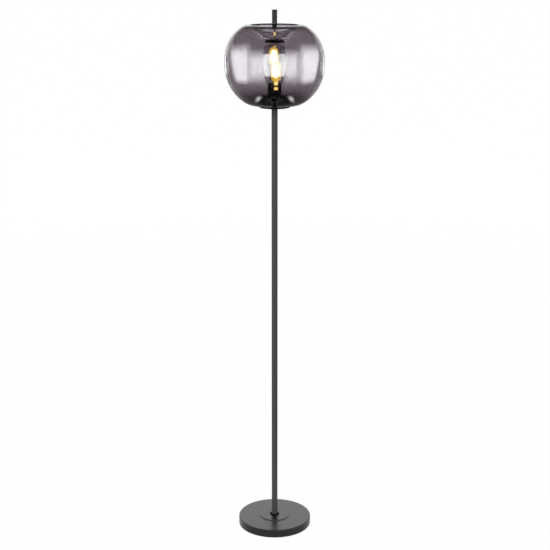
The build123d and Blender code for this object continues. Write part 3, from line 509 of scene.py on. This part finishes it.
# %% Adding a node
def node(tree, kind, **given):
    """A new node's first output. What is given goes to its inputs by name, as a value or a link, or else is
    set on the node itself."""
    made = tree.nodes.new("ShaderNode" + kind)
    for name, value in given.items():
        socket = made.inputs.get(name.replace("_", " "))
        if socket is None:
            setattr(made, name, value)
        elif isinstance(value, bpy.types.NodeSocket):
            tree.links.new(value, socket)
        else:
            socket.default_value = value
    return made.outputs[0]


def slope(tree, value, start, end, at_start, at_end):
    """Runs straight from one level to another while the value goes from start to end, and is level beyond."""
    return node(tree, "MapRange", Value=value, From_Min=start, From_Max=end, To_Min=at_start, To_Max=at_end)


print("helpers made: node, slope")

# %% Building a finish
DARK_PART, LIGHT_PART = 0.3, 0.7  # where a noise has its dark and its light parts


class Finish:
    """A material with one Principled shader, and patterns that drive its sockets."""

    def __init__(self, name, **constants):
        self.material = bpy.data.materials.new(name)
        self.material.use_nodes = True
        self.tree = self.material.node_tree
        self.shader = self.tree.nodes["Principled BSDF"]
        self.place = self.tree.nodes.new("ShaderNodeTexCoord").outputs["Object"]
        for socket, value in constants.items():
            value = (*value, 1) if isinstance(value, tuple) and len(value) == 3 else value
            self.shader.inputs[socket.replace("_", " ")].default_value = value

    def grain(self, scale, detail=3, stretch=(1, 1, 1)):
        """Noise of so many cycles a metre, longer along an axis whose stretch is under 1."""
        spread = node(self.tree, "Mapping", Vector=self.place, Scale=stretch)
        return node(self.tree, "TexNoise", Vector=spread, Scale=scale, Detail=detail)

    def cells(self, scale):
        """Distance to the nearest of scattered points, so many of them to a metre."""
        return node(self.tree, "TexVoronoi", Vector=self.place, Scale=scale)

    def vary(self, pattern, socket, low, high):
        """The socket goes from low to high as the pattern goes from its dark to its light parts."""
        fitted = slope(self.tree, pattern, DARK_PART, LIGHT_PART, low, high)
        self.tree.links.new(fitted, self.shader.inputs[socket])
        return self

    def tint(self, pattern, dark, light):
        """Base colour from dark to light along the pattern."""
        ramp = self.tree.nodes.new("ShaderNodeValToRGB")
        for stop, place, colour in zip(ramp.color_ramp.elements, (DARK_PART, LIGHT_PART), (dark, light)):
            stop.position, stop.color = place, (*colour, 1)
        self.tree.links.new(pattern, ramp.inputs["Fac"])
        self.tree.links.new(ramp.outputs["Color"], self.shader.inputs["Base Color"])
        return self

    def relief(self, pattern, depth):
        """Bump of so many metres from the pattern's lowest to its highest."""
        bump = node(self.tree, "Bump", Distance=depth, Height=pattern)
        self.tree.links.new(bump, self.shader.inputs["Normal"])
        return self


# %% Putting a finish on
def dress(finish, *objects):
    """Puts a finish in every material slot of the objects, new pieces or CAD nodes by name."""
    targets = [NODES[each] if isinstance(each, str) else each for each in objects]
    for target in targets:
        if not target.material_slots:
            target.data.materials.append(finish.material)
        for slot in target.material_slots:
            slot.material = finish.material
    print(finish.material.name, "on", ", ".join(target.name for target in targets))


# %% [markdown]
# ## Glass
# The globe's glass carries a thin smoky coat, so each wall takes about three fifths of the light that passes,
# whatever the angle, and mirrors the room only near its edges. The bulb's glass is much clearer. Blown glass
# is never quite even: its skin waves by a tenth of a millimetre over a few centimetres.

# %% Smoked glass
smoked = Finish("smoked_glass", Transmission_Weight=1.0, IOR=1.3, Specular_Tint=(0.1, 0.1, 0.1))
waves = smoked.tree.nodes.new("ShaderNodeMix")
waves.data_type, waves.blend_type = "RGBA", "MULTIPLY"
smoked.tree.links.new(smoked.grain(12, 2), waves.inputs["Factor"])
# the smoke colour holds the painted light in the funnel and the painted shade along the crest
smoked.tree.links.new(node(smoked.tree, "Attribute", attribute_name="smoke"), waves.inputs["A"])
waves.inputs["B"].default_value = (0.93, 0.93, 0.93, 1)
smoked.tree.links.new(waves.outputs["Result"], smoked.shader.inputs["Base Color"])
smoked.vary(smoked.grain(9, 2), "Roughness", 0.0, 0.012)
smoked.relief(smoked.grain(14, 1), 0.0001)
dress(smoked, globe)

# %% Clear glass
clear = Finish("clear_glass", Transmission_Weight=1.0, IOR=1.45, Specular_Tint=(0.3, 0.3, 0.3))
clear.tint(clear.grain(25, 2), (0.62, 0.6, 0.62), (0.66, 0.64, 0.66))
clear.vary(clear.grain(40, 2), "Roughness", 0.0, 0.01)
dress(clear, bulb, "filament_stem")

# %% [markdown]
# ## Coats on steel
# The foot wears a satin powder coat, whose grains melt into a fine orange-peel skin. The pole wears a thinner
# black coat that was sprayed along its length, so its grain is drawn out along the axis.

# %% The foot's powder coat
powder = Finish("base_powder_coat", Specular_IOR_Level=0.3)
powder.relief(powder.grain(1400, 2), 0.000012).vary(powder.grain(160, 3), "Roughness", 0.28, 0.34)
powder.tint(powder.grain(420, 4), (0.022, 0.022, 0.024), (0.029, 0.029, 0.031))
dress(powder, "base_cover")

# %% The pole's coat
pole_coat = Finish("pole_coat")
pole_coat.relief(pole_coat.grain(1600, 2, (1, 1, 0.5)), 0.00003)
pole_coat.vary(pole_coat.grain(220, 3, (1, 1, 0.3)), "Roughness", 0.36, 0.46)
pole_coat.tint(pole_coat.grain(300, 3), (0.17, 0.17, 0.17), (0.195, 0.195, 0.195))
dress(pole_coat, "lower_pole", "upper_pole")

# %% [markdown]
# ## Blacks round the globe
# Several blacks meet round the glass, and the eye tells them apart mostly by their shine. The rod on the
# crown is satin. The spun holder and the finial's plate are darker and a little smoother, the lampholder is
# moulded and glossy, and the bush is the darkest. So each has its own base colour, roughness and grain.

# %% Satin rod and spun holder
finial_coat = Finish("finial_coat", Roughness=0.4)
finial_coat.relief(finial_coat.grain(1600, 2), 0.00003)
finial_coat.tint(finial_coat.grain(300, 3), (0.07, 0.072, 0.069), (0.08, 0.082, 0.079))
dress(finial_coat, "finial_rod")
holder_coat = Finish("holder_coat", Roughness=0.3, Specular_IOR_Level=0.15)
holder_coat.relief(holder_coat.grain(1500, 2), 0.00003)
holder_coat.tint(holder_coat.grain(300, 3), (0.008, 0.007, 0.008), (0.012, 0.011, 0.012))
dress(holder_coat, "holder_dish", "globe_seat", "finial_plate")

# %% Moulded lampholder and polished bush
gloss = Finish("sleeve_gloss", Specular_IOR_Level=0.35)
gloss.vary(gloss.grain(300, 3), "Roughness", 0.08, 0.16)
gloss.tint(gloss.grain(200, 3), (0.006, 0.005, 0.006), (0.009, 0.008, 0.009))
dress(gloss, "lampholder_sleeve", "lampholder_ring")
bush_black = Finish("bush_black", Roughness=0.35, Specular_IOR_Level=0.2)
bush_black.tint(bush_black.grain(400, 2), (0.004, 0.004, 0.005), (0.006, 0.005, 0.006))
dress(bush_black, "finial_bush")

# %% [markdown]
# ## Rubber, silicone and felt
# Moulded rubber is dull and finely pitted. Silicone is smoother and a little greasy to look at. Felt is
# wool pressed until its fibres lock, so it is all roughness, with a soft sheen where fibres stand up.

# %% Rubber and silicone
rubber = Finish("black_rubber", Roughness=0.75, Specular_IOR_Level=0.2)
rubber.relief(rubber.grain(1800, 3), 0.00004)
rubber.tint(rubber.grain(500, 3), (0.006, 0.006, 0.007), (0.011, 0.011, 0.012))
dress(rubber, "cord_grommet", "foot_washer", "pole_joint_ring")
silicone = Finish("silicone", Specular_IOR_Level=0.3)
silicone.vary(silicone.grain(250, 2), "Roughness", 0.42, 0.55)
silicone.tint(silicone.grain(350, 2), (0.007, 0.007, 0.008), (0.012, 0.011, 0.012))
dress(silicone, "globe_gasket", "funnel_washer", "plate_washer")

# %% Felt
felt = Finish("felt", Roughness=0.95, Specular_IOR_Level=0.1, Sheen_Weight=0.25, Sheen_Roughness=0.6)
felt.relief(felt.cells(900), 0.0004)
felt.tint(felt.grain(1200, 5, (1, 0.4, 1)), (0.018, 0.018, 0.019), (0.045, 0.045, 0.047))
dress(felt, felt_disc)

# %% [markdown]
# ## Iron and zinc
# The iron is as it came from the sand, pitted and dark. Steel fixings are zinc-plated, a grey-blue with
# faint brushing along the axis, which a noise stretched along Z gives.

# %% Cast iron
cast_iron = Finish("cast_iron", Metallic=0.6)
cast_iron.relief(cast_iron.cells(380), 0.0005)
cast_iron.tint(cast_iron.grain(90, 5), (0.05, 0.048, 0.047), (0.13, 0.128, 0.125))
cast_iron.vary(cast_iron.grain(240, 4), "Roughness", 0.6, 0.85)
dress(cast_iron, "base_weight")

# %% Zinc plate
zinc = Finish("zinc_steel", Metallic=1.0)
zinc.tint(zinc.grain(120, 3), (0.5, 0.51, 0.5), (0.66, 0.66, 0.63))
zinc.vary(zinc.grain(900, 3, (1, 1, 0.1)), "Roughness", 0.28, 0.42).relief(zinc.grain(2500, 2), 0.00001)
dress(zinc, "base_washer", "base_nut", "lower_pole_foot_insert", "lower_pole_head_insert", "seat_spacer",
      "upper_pole_foot_insert", "upper_pole_head_insert", "head_nut", "finial_nut", finial_stud, *studs)

# %% [markdown]
# ## Nickel, brass and solder
# The cap, the shell and the spiders are nickel-plated and bright. The contacts are brass that has dulled in
# patches, and the solder on the bulb's tip set in a dull, lumpy drop. A metal's colour is its mirror's
# colour, so all three have full or nearly full Metallic, and the patches vary colour and roughness alike.

# %% Nickel
nickel = Finish("nickel", Metallic=1.0)
nickel.tint(nickel.grain(150, 2), (0.62, 0.6, 0.57), (0.74, 0.72, 0.69))
nickel.vary(nickel.grain(500, 3), "Roughness", 0.1, 0.2)
dress(nickel, bulb_cap, shell, "filament_spiders", filament_tabs)

# %% Brass and solder
brass = Finish("brass", Metallic=1.0)
brass.tint(brass.grain(260, 4), (0.55, 0.36, 0.13), (0.8, 0.59, 0.27))
brass.vary(brass.grain(700, 3), "Roughness", 0.22, 0.38)
dress(brass, "centre_contact", "terminal_screws")
solder = Finish("solder", Metallic=0.9)
solder.relief(solder.grain(600, 2), 0.00012)
solder.tint(solder.grain(400, 3), (0.42, 0.42, 0.44), (0.62, 0.62, 0.64))
solder.vary(solder.grain(800, 3), "Roughness", 0.35, 0.55)
dress(solder, "cap_contact")

# %% [markdown]
# ## Ceramic and fused glass
# The insulator is glazed porcelain, whose glaze lies over a cream body as a clear coat. The cone under the
# cap is poured glass, almost black.

# %% Insulators
ceramic = Finish("ceramic_white", Coat_Weight=0.4, Coat_Roughness=0.08)
ceramic.tint(ceramic.grain(1400, 5), (0.62, 0.59, 0.53), (0.8, 0.78, 0.72))
ceramic.vary(ceramic.grain(120, 2), "Roughness", 0.16, 0.26)
dress(ceramic, "lampholder_insulator")
dark_glass = Finish("dark_glass")
dark_glass.tint(dark_glass.grain(500, 3), (0.012, 0.009, 0.018), (0.022, 0.017, 0.032))
dark_glass.vary(dark_glass.grain(300, 2), "Roughness", 0.08, 0.16)
dress(dark_glass, "cap_insulator")

# %% [markdown]
# ## Light in the bulb
# The phosphor coat is what glows, far brighter than anything round it, so it gives its own light from its
# surface. Its skin is slightly rough, as a dipped coat is.

# %% The lit coat
lit = Finish("lit_filament", Base_Color=(0.9, 0.6, 0.2), Roughness=0.6, Emission_Color=(1.0, 0.72, 0.36),
             Emission_Strength=18.0)
lit.relief(lit.grain(3000, 2), 0.00005)
lit.vary(lit.grain(900, 2), "Roughness", 0.5, 0.7)
dress(lit, filaments)

# %% [markdown]
# ## Who looks at the room
# A catalogue picture has a white room and yet black things stay black in it. That takes a room that looks
# different to different rays: white to the camera and through glass, plain and dim where it lights a surface,
# and banded in a mirror. Light Path tells the rays apart, and a little arithmetic picks the brightness.

# %% Arithmetic on rays
def maths(tree, operation, *values):
    """One step of arithmetic on links and numbers."""
    step = tree.nodes.new("ShaderNodeMath")
    step.operation = operation
    for socket, value in zip(step.inputs, values):
        if isinstance(value, bpy.types.NodeSocket):
            tree.links.new(value, socket)
        else:
            socket.default_value = value
    return step.outputs[0]


def rays(tree, *kinds):
    """1 for a ray of any of these kinds, else 0."""
    path = tree.nodes.new("ShaderNodeLightPath")
    seen = path.outputs[f"Is {kinds[0]} Ray"]
    for kind in kinds[1:]:
        seen = maths(tree, "MAXIMUM", seen, path.outputs[f"Is {kind} Ray"])
    return seen


def ramp(tree, value, stops):
    """A smooth curve through stops (value, brightness), the values from 0 to 1."""
    curve = tree.nodes.new("ShaderNodeValToRGB")
    curve.color_ramp.interpolation = "EASE"
    elements = curve.color_ramp.elements
    while len(elements) < len(stops):
        elements.new(0.5)
    for element, (place, bright) in zip(elements, stops):
        element.position, element.color = place, (bright, bright, bright, 1)
    tree.links.new(value, curve.inputs["Fac"])
    return curve.outputs["Color"]


print("helpers made: maths, rays, ramp")

# %% [markdown]
# ## The room's light
# The world is a dome of white. It lights the lamp at a plain low level. A mirror sees a darker band above
# the horizon, between the backdrop's top and the lamp overhead, as in a studio: without it the satin coats
# would be washed out by a white sky.

# %% The dome
ROOM_LEVEL = 0.18  # what the dome gives as light, where 1 is the white that the camera sees
DARK_BAND = 0.15
BAND_STOPS = [(0.62, 1), (0.68, DARK_BAND), (0.9, DARK_BAND), (0.97, 1)]  # 0.5 is the horizon, 1 overhead

world = bpy.data.worlds.new("room")
bpy.context.scene.world = world
world.use_nodes = True
tree = world.node_tree
height = tree.nodes.new("ShaderNodeSeparateXYZ")
tree.links.new(tree.nodes.new("ShaderNodeTexCoord").outputs["Generated"], height.inputs[0])
in_mirror = ramp(tree, maths(tree, "MULTIPLY_ADD", height.outputs["Z"], 0.5, 0.5), BAND_STOPS)
seen_white = maths(tree, "MULTIPLY", 1 - ROOM_LEVEL, rays(tree, "Camera", "Transmission"))
plain = maths(tree, "ADD", ROOM_LEVEL, seen_white)
background = tree.nodes["Background"].inputs
tree.links.new(slope(tree, rays(tree, "Glossy"), 0, 1, plain, in_mirror), background["Strength"])
background["Color"].default_value = (1, 1, 1, 1)
print("the room lights at", ROOM_LEVEL, "and mirrors show a band of", DARK_BAND)

# %% [markdown]
# ## The floor
# The floor is pale and runs far back. It glows for the camera and through glass, so that it melts into the
# white room, a little less close to the foot than far away. In a mirror it is bright only close to the foot,
# because the foot's side faces it there, while the globe's underside looks down from high above and would
# be lit up by a white floor. Under the glow lies a matt coat that takes the foot's soft shadow.

# %% Materials without a shader
def bare_material(name):
    """A new material whose node tree is empty, and that tree."""
    material = bpy.data.materials.new(name)
    material.use_nodes = True
    material.node_tree.nodes.clear()
    return material, material.node_tree


def show(tree, shader, end="Surface"):
    """Links a shader to the material's own surface or volume."""
    tree.links.new(shader, tree.nodes.new("ShaderNodeOutputMaterial").inputs[end])


def added(tree, one, other):
    """Two shaders on top of each other."""
    both = tree.nodes.new("ShaderNodeAddShader")
    tree.links.new(one, both.inputs[0])
    tree.links.new(other, both.inputs[1])
    return both.outputs[0]


print("helpers made: bare_material, show, added")

# %% A floor that glows for some
FLOOR_REACH = 90  # metres to each side
CLOSE_BY, FURTHER = 0.2, 0.4  # metres from the axis between which a mirrored floor dims
MIRRORED_CLOSE, MIRRORED_FURTHER = 0.9, 0.12
GLOW_FROM, GLOW_TO = 0.8, 5.0  # metres over which the floor whitens
GLOW_CLOSE, GLOW_AWAY = 0.965, 0.985
MATT_GREY, MATT_GREY_SEEN = 0.2, 0.09  # as light bounces off it, and as it is looked at

reach = FLOOR_REACH
floor_mesh = bpy.data.meshes.new("floor")
floor_mesh.from_pydata([(-reach, -reach, 0), (reach, -reach, 0), (reach, reach, 0), (-reach, reach, 0)], [],
                       [(0, 1, 2, 3)])
floor = bpy.data.objects.new("floor", floor_mesh)
bpy.context.scene.collection.objects.link(floor)
pale, tree = bare_material("pale_floor")
length = tree.nodes.new("ShaderNodeVectorMath")
length.operation = "LENGTH"
tree.links.new(tree.nodes.new("ShaderNodeTexCoord").outputs["Object"], length.inputs[0])
away = length.outputs["Value"]
dimming = slope(tree, away, CLOSE_BY, FURTHER, MIRRORED_CLOSE, MIRRORED_FURTHER)
mirrored = maths(tree, "MULTIPLY", rays(tree, "Glossy"), dimming)
seen = maths(tree, "ADD", rays(tree, "Camera", "Transmission"), mirrored)
white = slope(tree, away, GLOW_FROM, GLOW_TO, GLOW_CLOSE, GLOW_AWAY)
glow = node(tree, "Emission", Strength=maths(tree, "MULTIPLY", seen, white))
matt = node(tree, "BsdfDiffuse", Color=slope(tree, seen, 0, 1, MATT_GREY, MATT_GREY_SEEN))
show(tree, added(tree, matt, glow))
floor_mesh.materials.append(pale)
floor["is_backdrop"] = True
print("floor", 2 * FLOOR_REACH, "m wide, glowing at", GLOW_CLOSE, "by the foot and", GLOW_AWAY, "further off")


# %% [markdown]
# ## Lamps
# A large soft lamp hangs overhead and a stronger one stands to the left of the camera. A big square source
# has soft shadow edges, which suits a lamp that is shown on white. Neither shows in mirrors or glass, where
# a hard-edged square would give the studio away.

# %% Soft lamps
TOP_WATTS, FRONT_WATTS = 12, 42


def area_lamp(name, place, target, size, power):
    """A square soft lamp that faces its target."""
    data = bpy.data.lights.new(name, "AREA")
    data.shape, data.size, data.energy = "SQUARE", size, power
    lamp = bpy.data.objects.new(name, data)
    lamp.location = place
    lamp.rotation_euler = (Vector(target) - Vector(place)).to_track_quat("-Z", "Y").to_euler()
    lamp.visible_glossy = lamp.visible_transmission = False
    bpy.context.scene.collection.objects.link(lamp)
    print(f"{name}: {power} W from {place} m, {size} m wide")


area_lamp("top_lamp", place=(0, -0.4, 4.2), target=(0, 0, 0), size=2.5, power=TOP_WATTS)
area_lamp("front_lamp", place=(-1.2, -3.6, 2.6), target=(0, 0, 0.9), size=2.2, power=FRONT_WATTS)

# %% [markdown]
# ## Softboxes seen through the glass
# What makes the globe read as glass are the soft bright windows in it. In the photograph they stand upright
# and in pairs, so they are seen through the thin walls rather than mirrored by them, which would bow them.
# They are soft-edged cards behind the globe that only the glass shows, and the set is repeated every 45
# degrees, so that the glass is as lively from each side. Light linking keeps them from lighting the rest.

# %% Light with soft edges
def glow_material(name, colour, radiance, soft):
    """Adds light to what is behind, fading smoothly to nothing at the edges of the face's UV square. Soft is
    the share of the square that the fade takes: at each side, at the foot and at the head."""
    material, tree = bare_material(name)
    split = tree.nodes.new("ShaderNodeSeparateXYZ")
    tree.links.new(node(tree, "UVMap", uv_map="card"), split.inputs[0])
    sides, foot, head = soft
    bright = radiance
    for axis, first, last in (("X", sides, sides), ("Y", foot, head)):
        along = split.outputs[axis]
        back = maths(tree, "SUBTRACT", 1.0, along)
        near = node(tree, "MapRange", interpolation_type="SMOOTHSTEP", Value=along, From_Max=first)
        far = node(tree, "MapRange", interpolation_type="SMOOTHSTEP", Value=back, From_Max=last)
        bright = maths(tree, "MULTIPLY", bright, maths(tree, "MULTIPLY", near, far))
    light = node(tree, "Emission", Color=(*colour, 1), Strength=bright)
    show(tree, added(tree, light, node(tree, "BsdfTransparent")))
    return material


print("helper made: glow_material")


# %% A light that only some pieces show
def staged_glow(name, vertices, faces, material, shown_by=(), corners=(), mirrored=False):
    """A stage object that only these pieces show, or all where none are given, in what they let through or
    in what they mirror. Corners is the UV square that each of its faces gets."""
    mesh = bpy.data.meshes.new(name)
    mesh.from_pydata(np.asarray(vertices, float), [], faces)
    mesh.materials.append(material)
    glow = bpy.data.objects.new(name, mesh)
    bpy.context.scene.collection.objects.link(glow)
    glow.visible_camera = glow.visible_diffuse = glow.visible_shadow = False
    glow.visible_glossy, glow.visible_transmission = mirrored, not mirrored
    glow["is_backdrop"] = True
    if corners:
        square = mesh.uv_layers.new(name="card")
        square.data.foreach_set("uv", np.tile(corners, len(mesh.polygons)).astype(float))
    if shown_by:
        group = bpy.data.collections.new(name + "_seen_in")
        for each in shown_by:
            group.objects.link(each)
        glow.light_linking.receiver_collection = group
    print(f"{name}: {len(mesh.polygons)} faces, {'mirrored' if mirrored else 'seen through'}")
    return glow


print("helper made: staged_glow")

# %% Upright cards, and the outer windows
CARD_CORNERS = (0, 0, 1, 0, 1, 1, 0, 1)


def cards(name, foot, head, low, high, colour, radiance, soft, sides=8, back=0.6):
    """Upright cards so many metres behind the axis, all turned about it to so many sides. Foot and head hold
    each card's left and right edge at its low and at its high end, all in mm."""
    corners = np.array([[(left, low), (right, low), (head_right, high), (head_left, high)]
                        for (left, right), (head_left, head_right) in zip(foot, head)], float) / 1000
    turn = np.arange(sides)[:, None, None] * 2 * np.pi / sides
    x, z = corners[None, ..., 0], corners[None, ..., 1]
    points = np.stack([x * np.cos(turn) + back * np.sin(turn), back * np.cos(turn) - x * np.sin(turn),
                       z + 0 * turn], -1).reshape(-1, 3)
    faces = np.arange(len(points)).reshape(-1, 4)
    material = glow_material(name, colour, radiance, soft)
    return staged_glow(name, points, faces, material, [globe], CARD_CORNERS)


PALE = (0.78, 0.93, 0.85)  # the smoke takes some green out of it, which leaves it nearly white
cards("outer_windows", foot=[(-168, -76), (76, 168)], head=[(-206, -76), (76, 206)], low=1308, high=1478,
      colour=PALE, radiance=7.2, soft=(0.3, 0.2, 0.36))

# %% Inner windows, haze and a strip under the crown
cards("inner_windows", foot=[(-100, -22), (22, 100)], head=[(-100, -22), (22, 100)], low=1306, high=1452,
      colour=PALE, radiance=6.3, soft=(0.32, 0.46, 0.36))
cards("funnel_haze", foot=[(-44, 44)], head=[(-76, 76)], low=1466, high=1508,
      colour=(0.95, 1.0, 0.97), radiance=0.5, soft=(0.2, 0.15, 0.2))
cards("crown_strip", foot=[(-84, 84)], head=[(-70, 70)], low=1514, high=1531,
      colour=(0.9, 1.0, 0.95), radiance=4, soft=(0.15, 0.3, 0.2))

# %% [markdown]
# ## The bright band in the bulb
# The filaments light the bulb from within, and brighten a band of its glass. An open sleeve just outside the
# bulb adds that band, seen only through the bulb's own walls, so it ends at the bulb's outline from every
# side. It belongs to the picture of the closed lamp, so it rides with the globe, and the bare bulb is left
# as plain clear glass once the globe is lifted.

# %% Open sleeves of light
SLEEVE_AROUND = 64
SLEEVE_CORNERS = (0.5, 0, 0.5, 0, 0.5, 1, 0.5, 1)  # each face is the middle of a card, so no side fades
NO_FADE = 1e-6


def glowing_sleeve(name, radius, low, high, colour, radiance, soft, shown_by, mirrored=False):
    """An upright cylinder round the axis without ends, that fades at its foot and its head."""
    points = turned(np.array([(radius, low), (radius, high)]), SLEEVE_AROUND).reshape(-1, 3)
    material = glow_material(name, colour, radiance, (NO_FADE, *soft))
    faces = grid_faces(2, SLEEVE_AROUND)
    return staged_glow(name, points, faces, material, shown_by, SLEEVE_CORNERS, mirrored)


band_object = glowing_sleeve("bulb_band", radius=39, low=1406, high=1473, colour=(0.83, 1.0, 0.85),
                             radiance=4.6, soft=(0.03, 0.03), shown_by=[bulb])
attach(band_object, "globe")

# %% [markdown]
# ## Halos
# Any lens draws a halo round a bright point, nearly white inside and golden outside. Round each tier of
# filaments stand two upright cylinders of faint luminous air, a narrow one in a wider one. Air glows the
# same from every side and has no edge where it is thin, which a card would have.

# %% Cylinders of glowing air round the filaments
HALO_AROUND = 48


def halo(name, radius, low, high, shift, colour, strength):
    """An upright cylinder with rounded ends, moved sideways by a shift, in mm, and filled with glowing air
    that adds so much light for each metre of it that is looked through."""
    bend = np.radians(np.linspace(0, 90, 9))
    outline = np.vstack([
        np.stack([radius * np.sin(bend), low + radius * (1 - np.cos(bend))], 1),
        np.stack([radius * np.cos(bend), high - radius * (1 - np.sin(bend))], 1),
    ])
    material, tree = bare_material(name)
    show(tree, node(tree, "Emission", Color=(*colour, 1), Strength=strength), "Volume")
    points = (turned(outline, HALO_AROUND) + np.array([shift / 1000, 0, 0])).reshape(-1, 3)
    faces = grid_faces(len(outline), HALO_AROUND)
    if volume(points, faces) < 0:
        faces = faces[:, ::-1]
    return staged_glow(name, points, faces, material)


CORE_GLOW, HALO_GLOW = 380.0, 105.0
CORE_COLOUR, HALO_COLOUR = (1, 0.82, 0.4), (1, 0.7, 0.05)
UPPER_SHIFT, LOWER_SHIFT = -2.5, 4  # towards each tier's brightest stick
halo("upper_core", radius=10, low=1449, high=1487, shift=UPPER_SHIFT, colour=CORE_COLOUR, strength=CORE_GLOW)
halo("lower_core", radius=10, low=1406, high=1447, shift=LOWER_SHIFT, colour=CORE_COLOUR, strength=CORE_GLOW)
halo("upper_halo", radius=15, low=1440, high=1496, shift=UPPER_SHIFT, colour=HALO_COLOUR, strength=HALO_GLOW)
halo("lower_halo", radius=15, low=1392, high=1456, shift=LOWER_SHIFT, colour=HALO_COLOUR, strength=HALO_GLOW)

# %% [markdown]
# ## Glints
# Small sparks of the lit filaments show where something shiny turns towards them: on the bulb's crown, on
# the finial's stud, and on the glossy sleeve under the bulb. Beside the dish, the upturned mouth catches
# the room in two pale crescents. The first two are drops of glowing air. The others are small cards inside
# the globe that face the front, for which they were placed: from the side they vanish, and from behind part
# of the crescents still shows.

# %% Sparks, glints and crescents
SPARK_GLOW = 90.0
halo("crown_glint", radius=6, low=1490, high=1503, shift=0, colour=(1, 0.5, 0.1), strength=SPARK_GLOW)
halo("stud_glint", radius=5, low=1526, high=1538, shift=0, colour=(1, 0.7, 0.3), strength=SPARK_GLOW / 4)
GLINT_EDGES = [(-4, 12)]  # a little to the right of the sleeve's middle
for index, (middle, half) in enumerate([(1393, 8), (1378, 6)], 1):
    cards(f"neck_glint_{index}", foot=GLINT_EDGES, head=GLINT_EDGES, low=middle - half, high=middle + half,
          colour=(1, 0.68, 0.2), radiance=4.0, soft=(0.4, 0.4, 0.4), sides=1, back=-0.024)
cards("mouth_crescents", foot=[(-64, -46), (46, 64)], head=[(-54, -30), (30, 54)], low=1334, high=1360,
      colour=(0.9, 1, 0.93), radiance=2.6, soft=(0.5, 0.5, 0.5), sides=1, back=-0.03)

# %% [markdown]
# ## A ring softbox for the foot
# A satin disc shows its form by what it mirrors. A broad ring of light round the room, seen only by the
# foot, lies where the top mirrors it for a viewer at eye level, and the pole stands in front of it and
# draws its soft dark reflection on the disc.

# %% The ring
glowing_sleeve("ring_softbox", radius=2500, low=350, high=2600, colour=(1, 1, 1), radiance=1.95,
               soft=(0.15, 0.25), shown_by=[NODES["base_cover"]], mirrored=True)

# %% [markdown]
# ## Closing the model
# Last, the box of the finished lamp is printed. A surface that sticks out of the CAD box would no longer fit
# where the real piece does.

# %% The visual model's size
low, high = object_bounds()
print("the finished lamp spans", [round(v, 4) for v in low], "to", [round(v, 4) for v in high], "m")
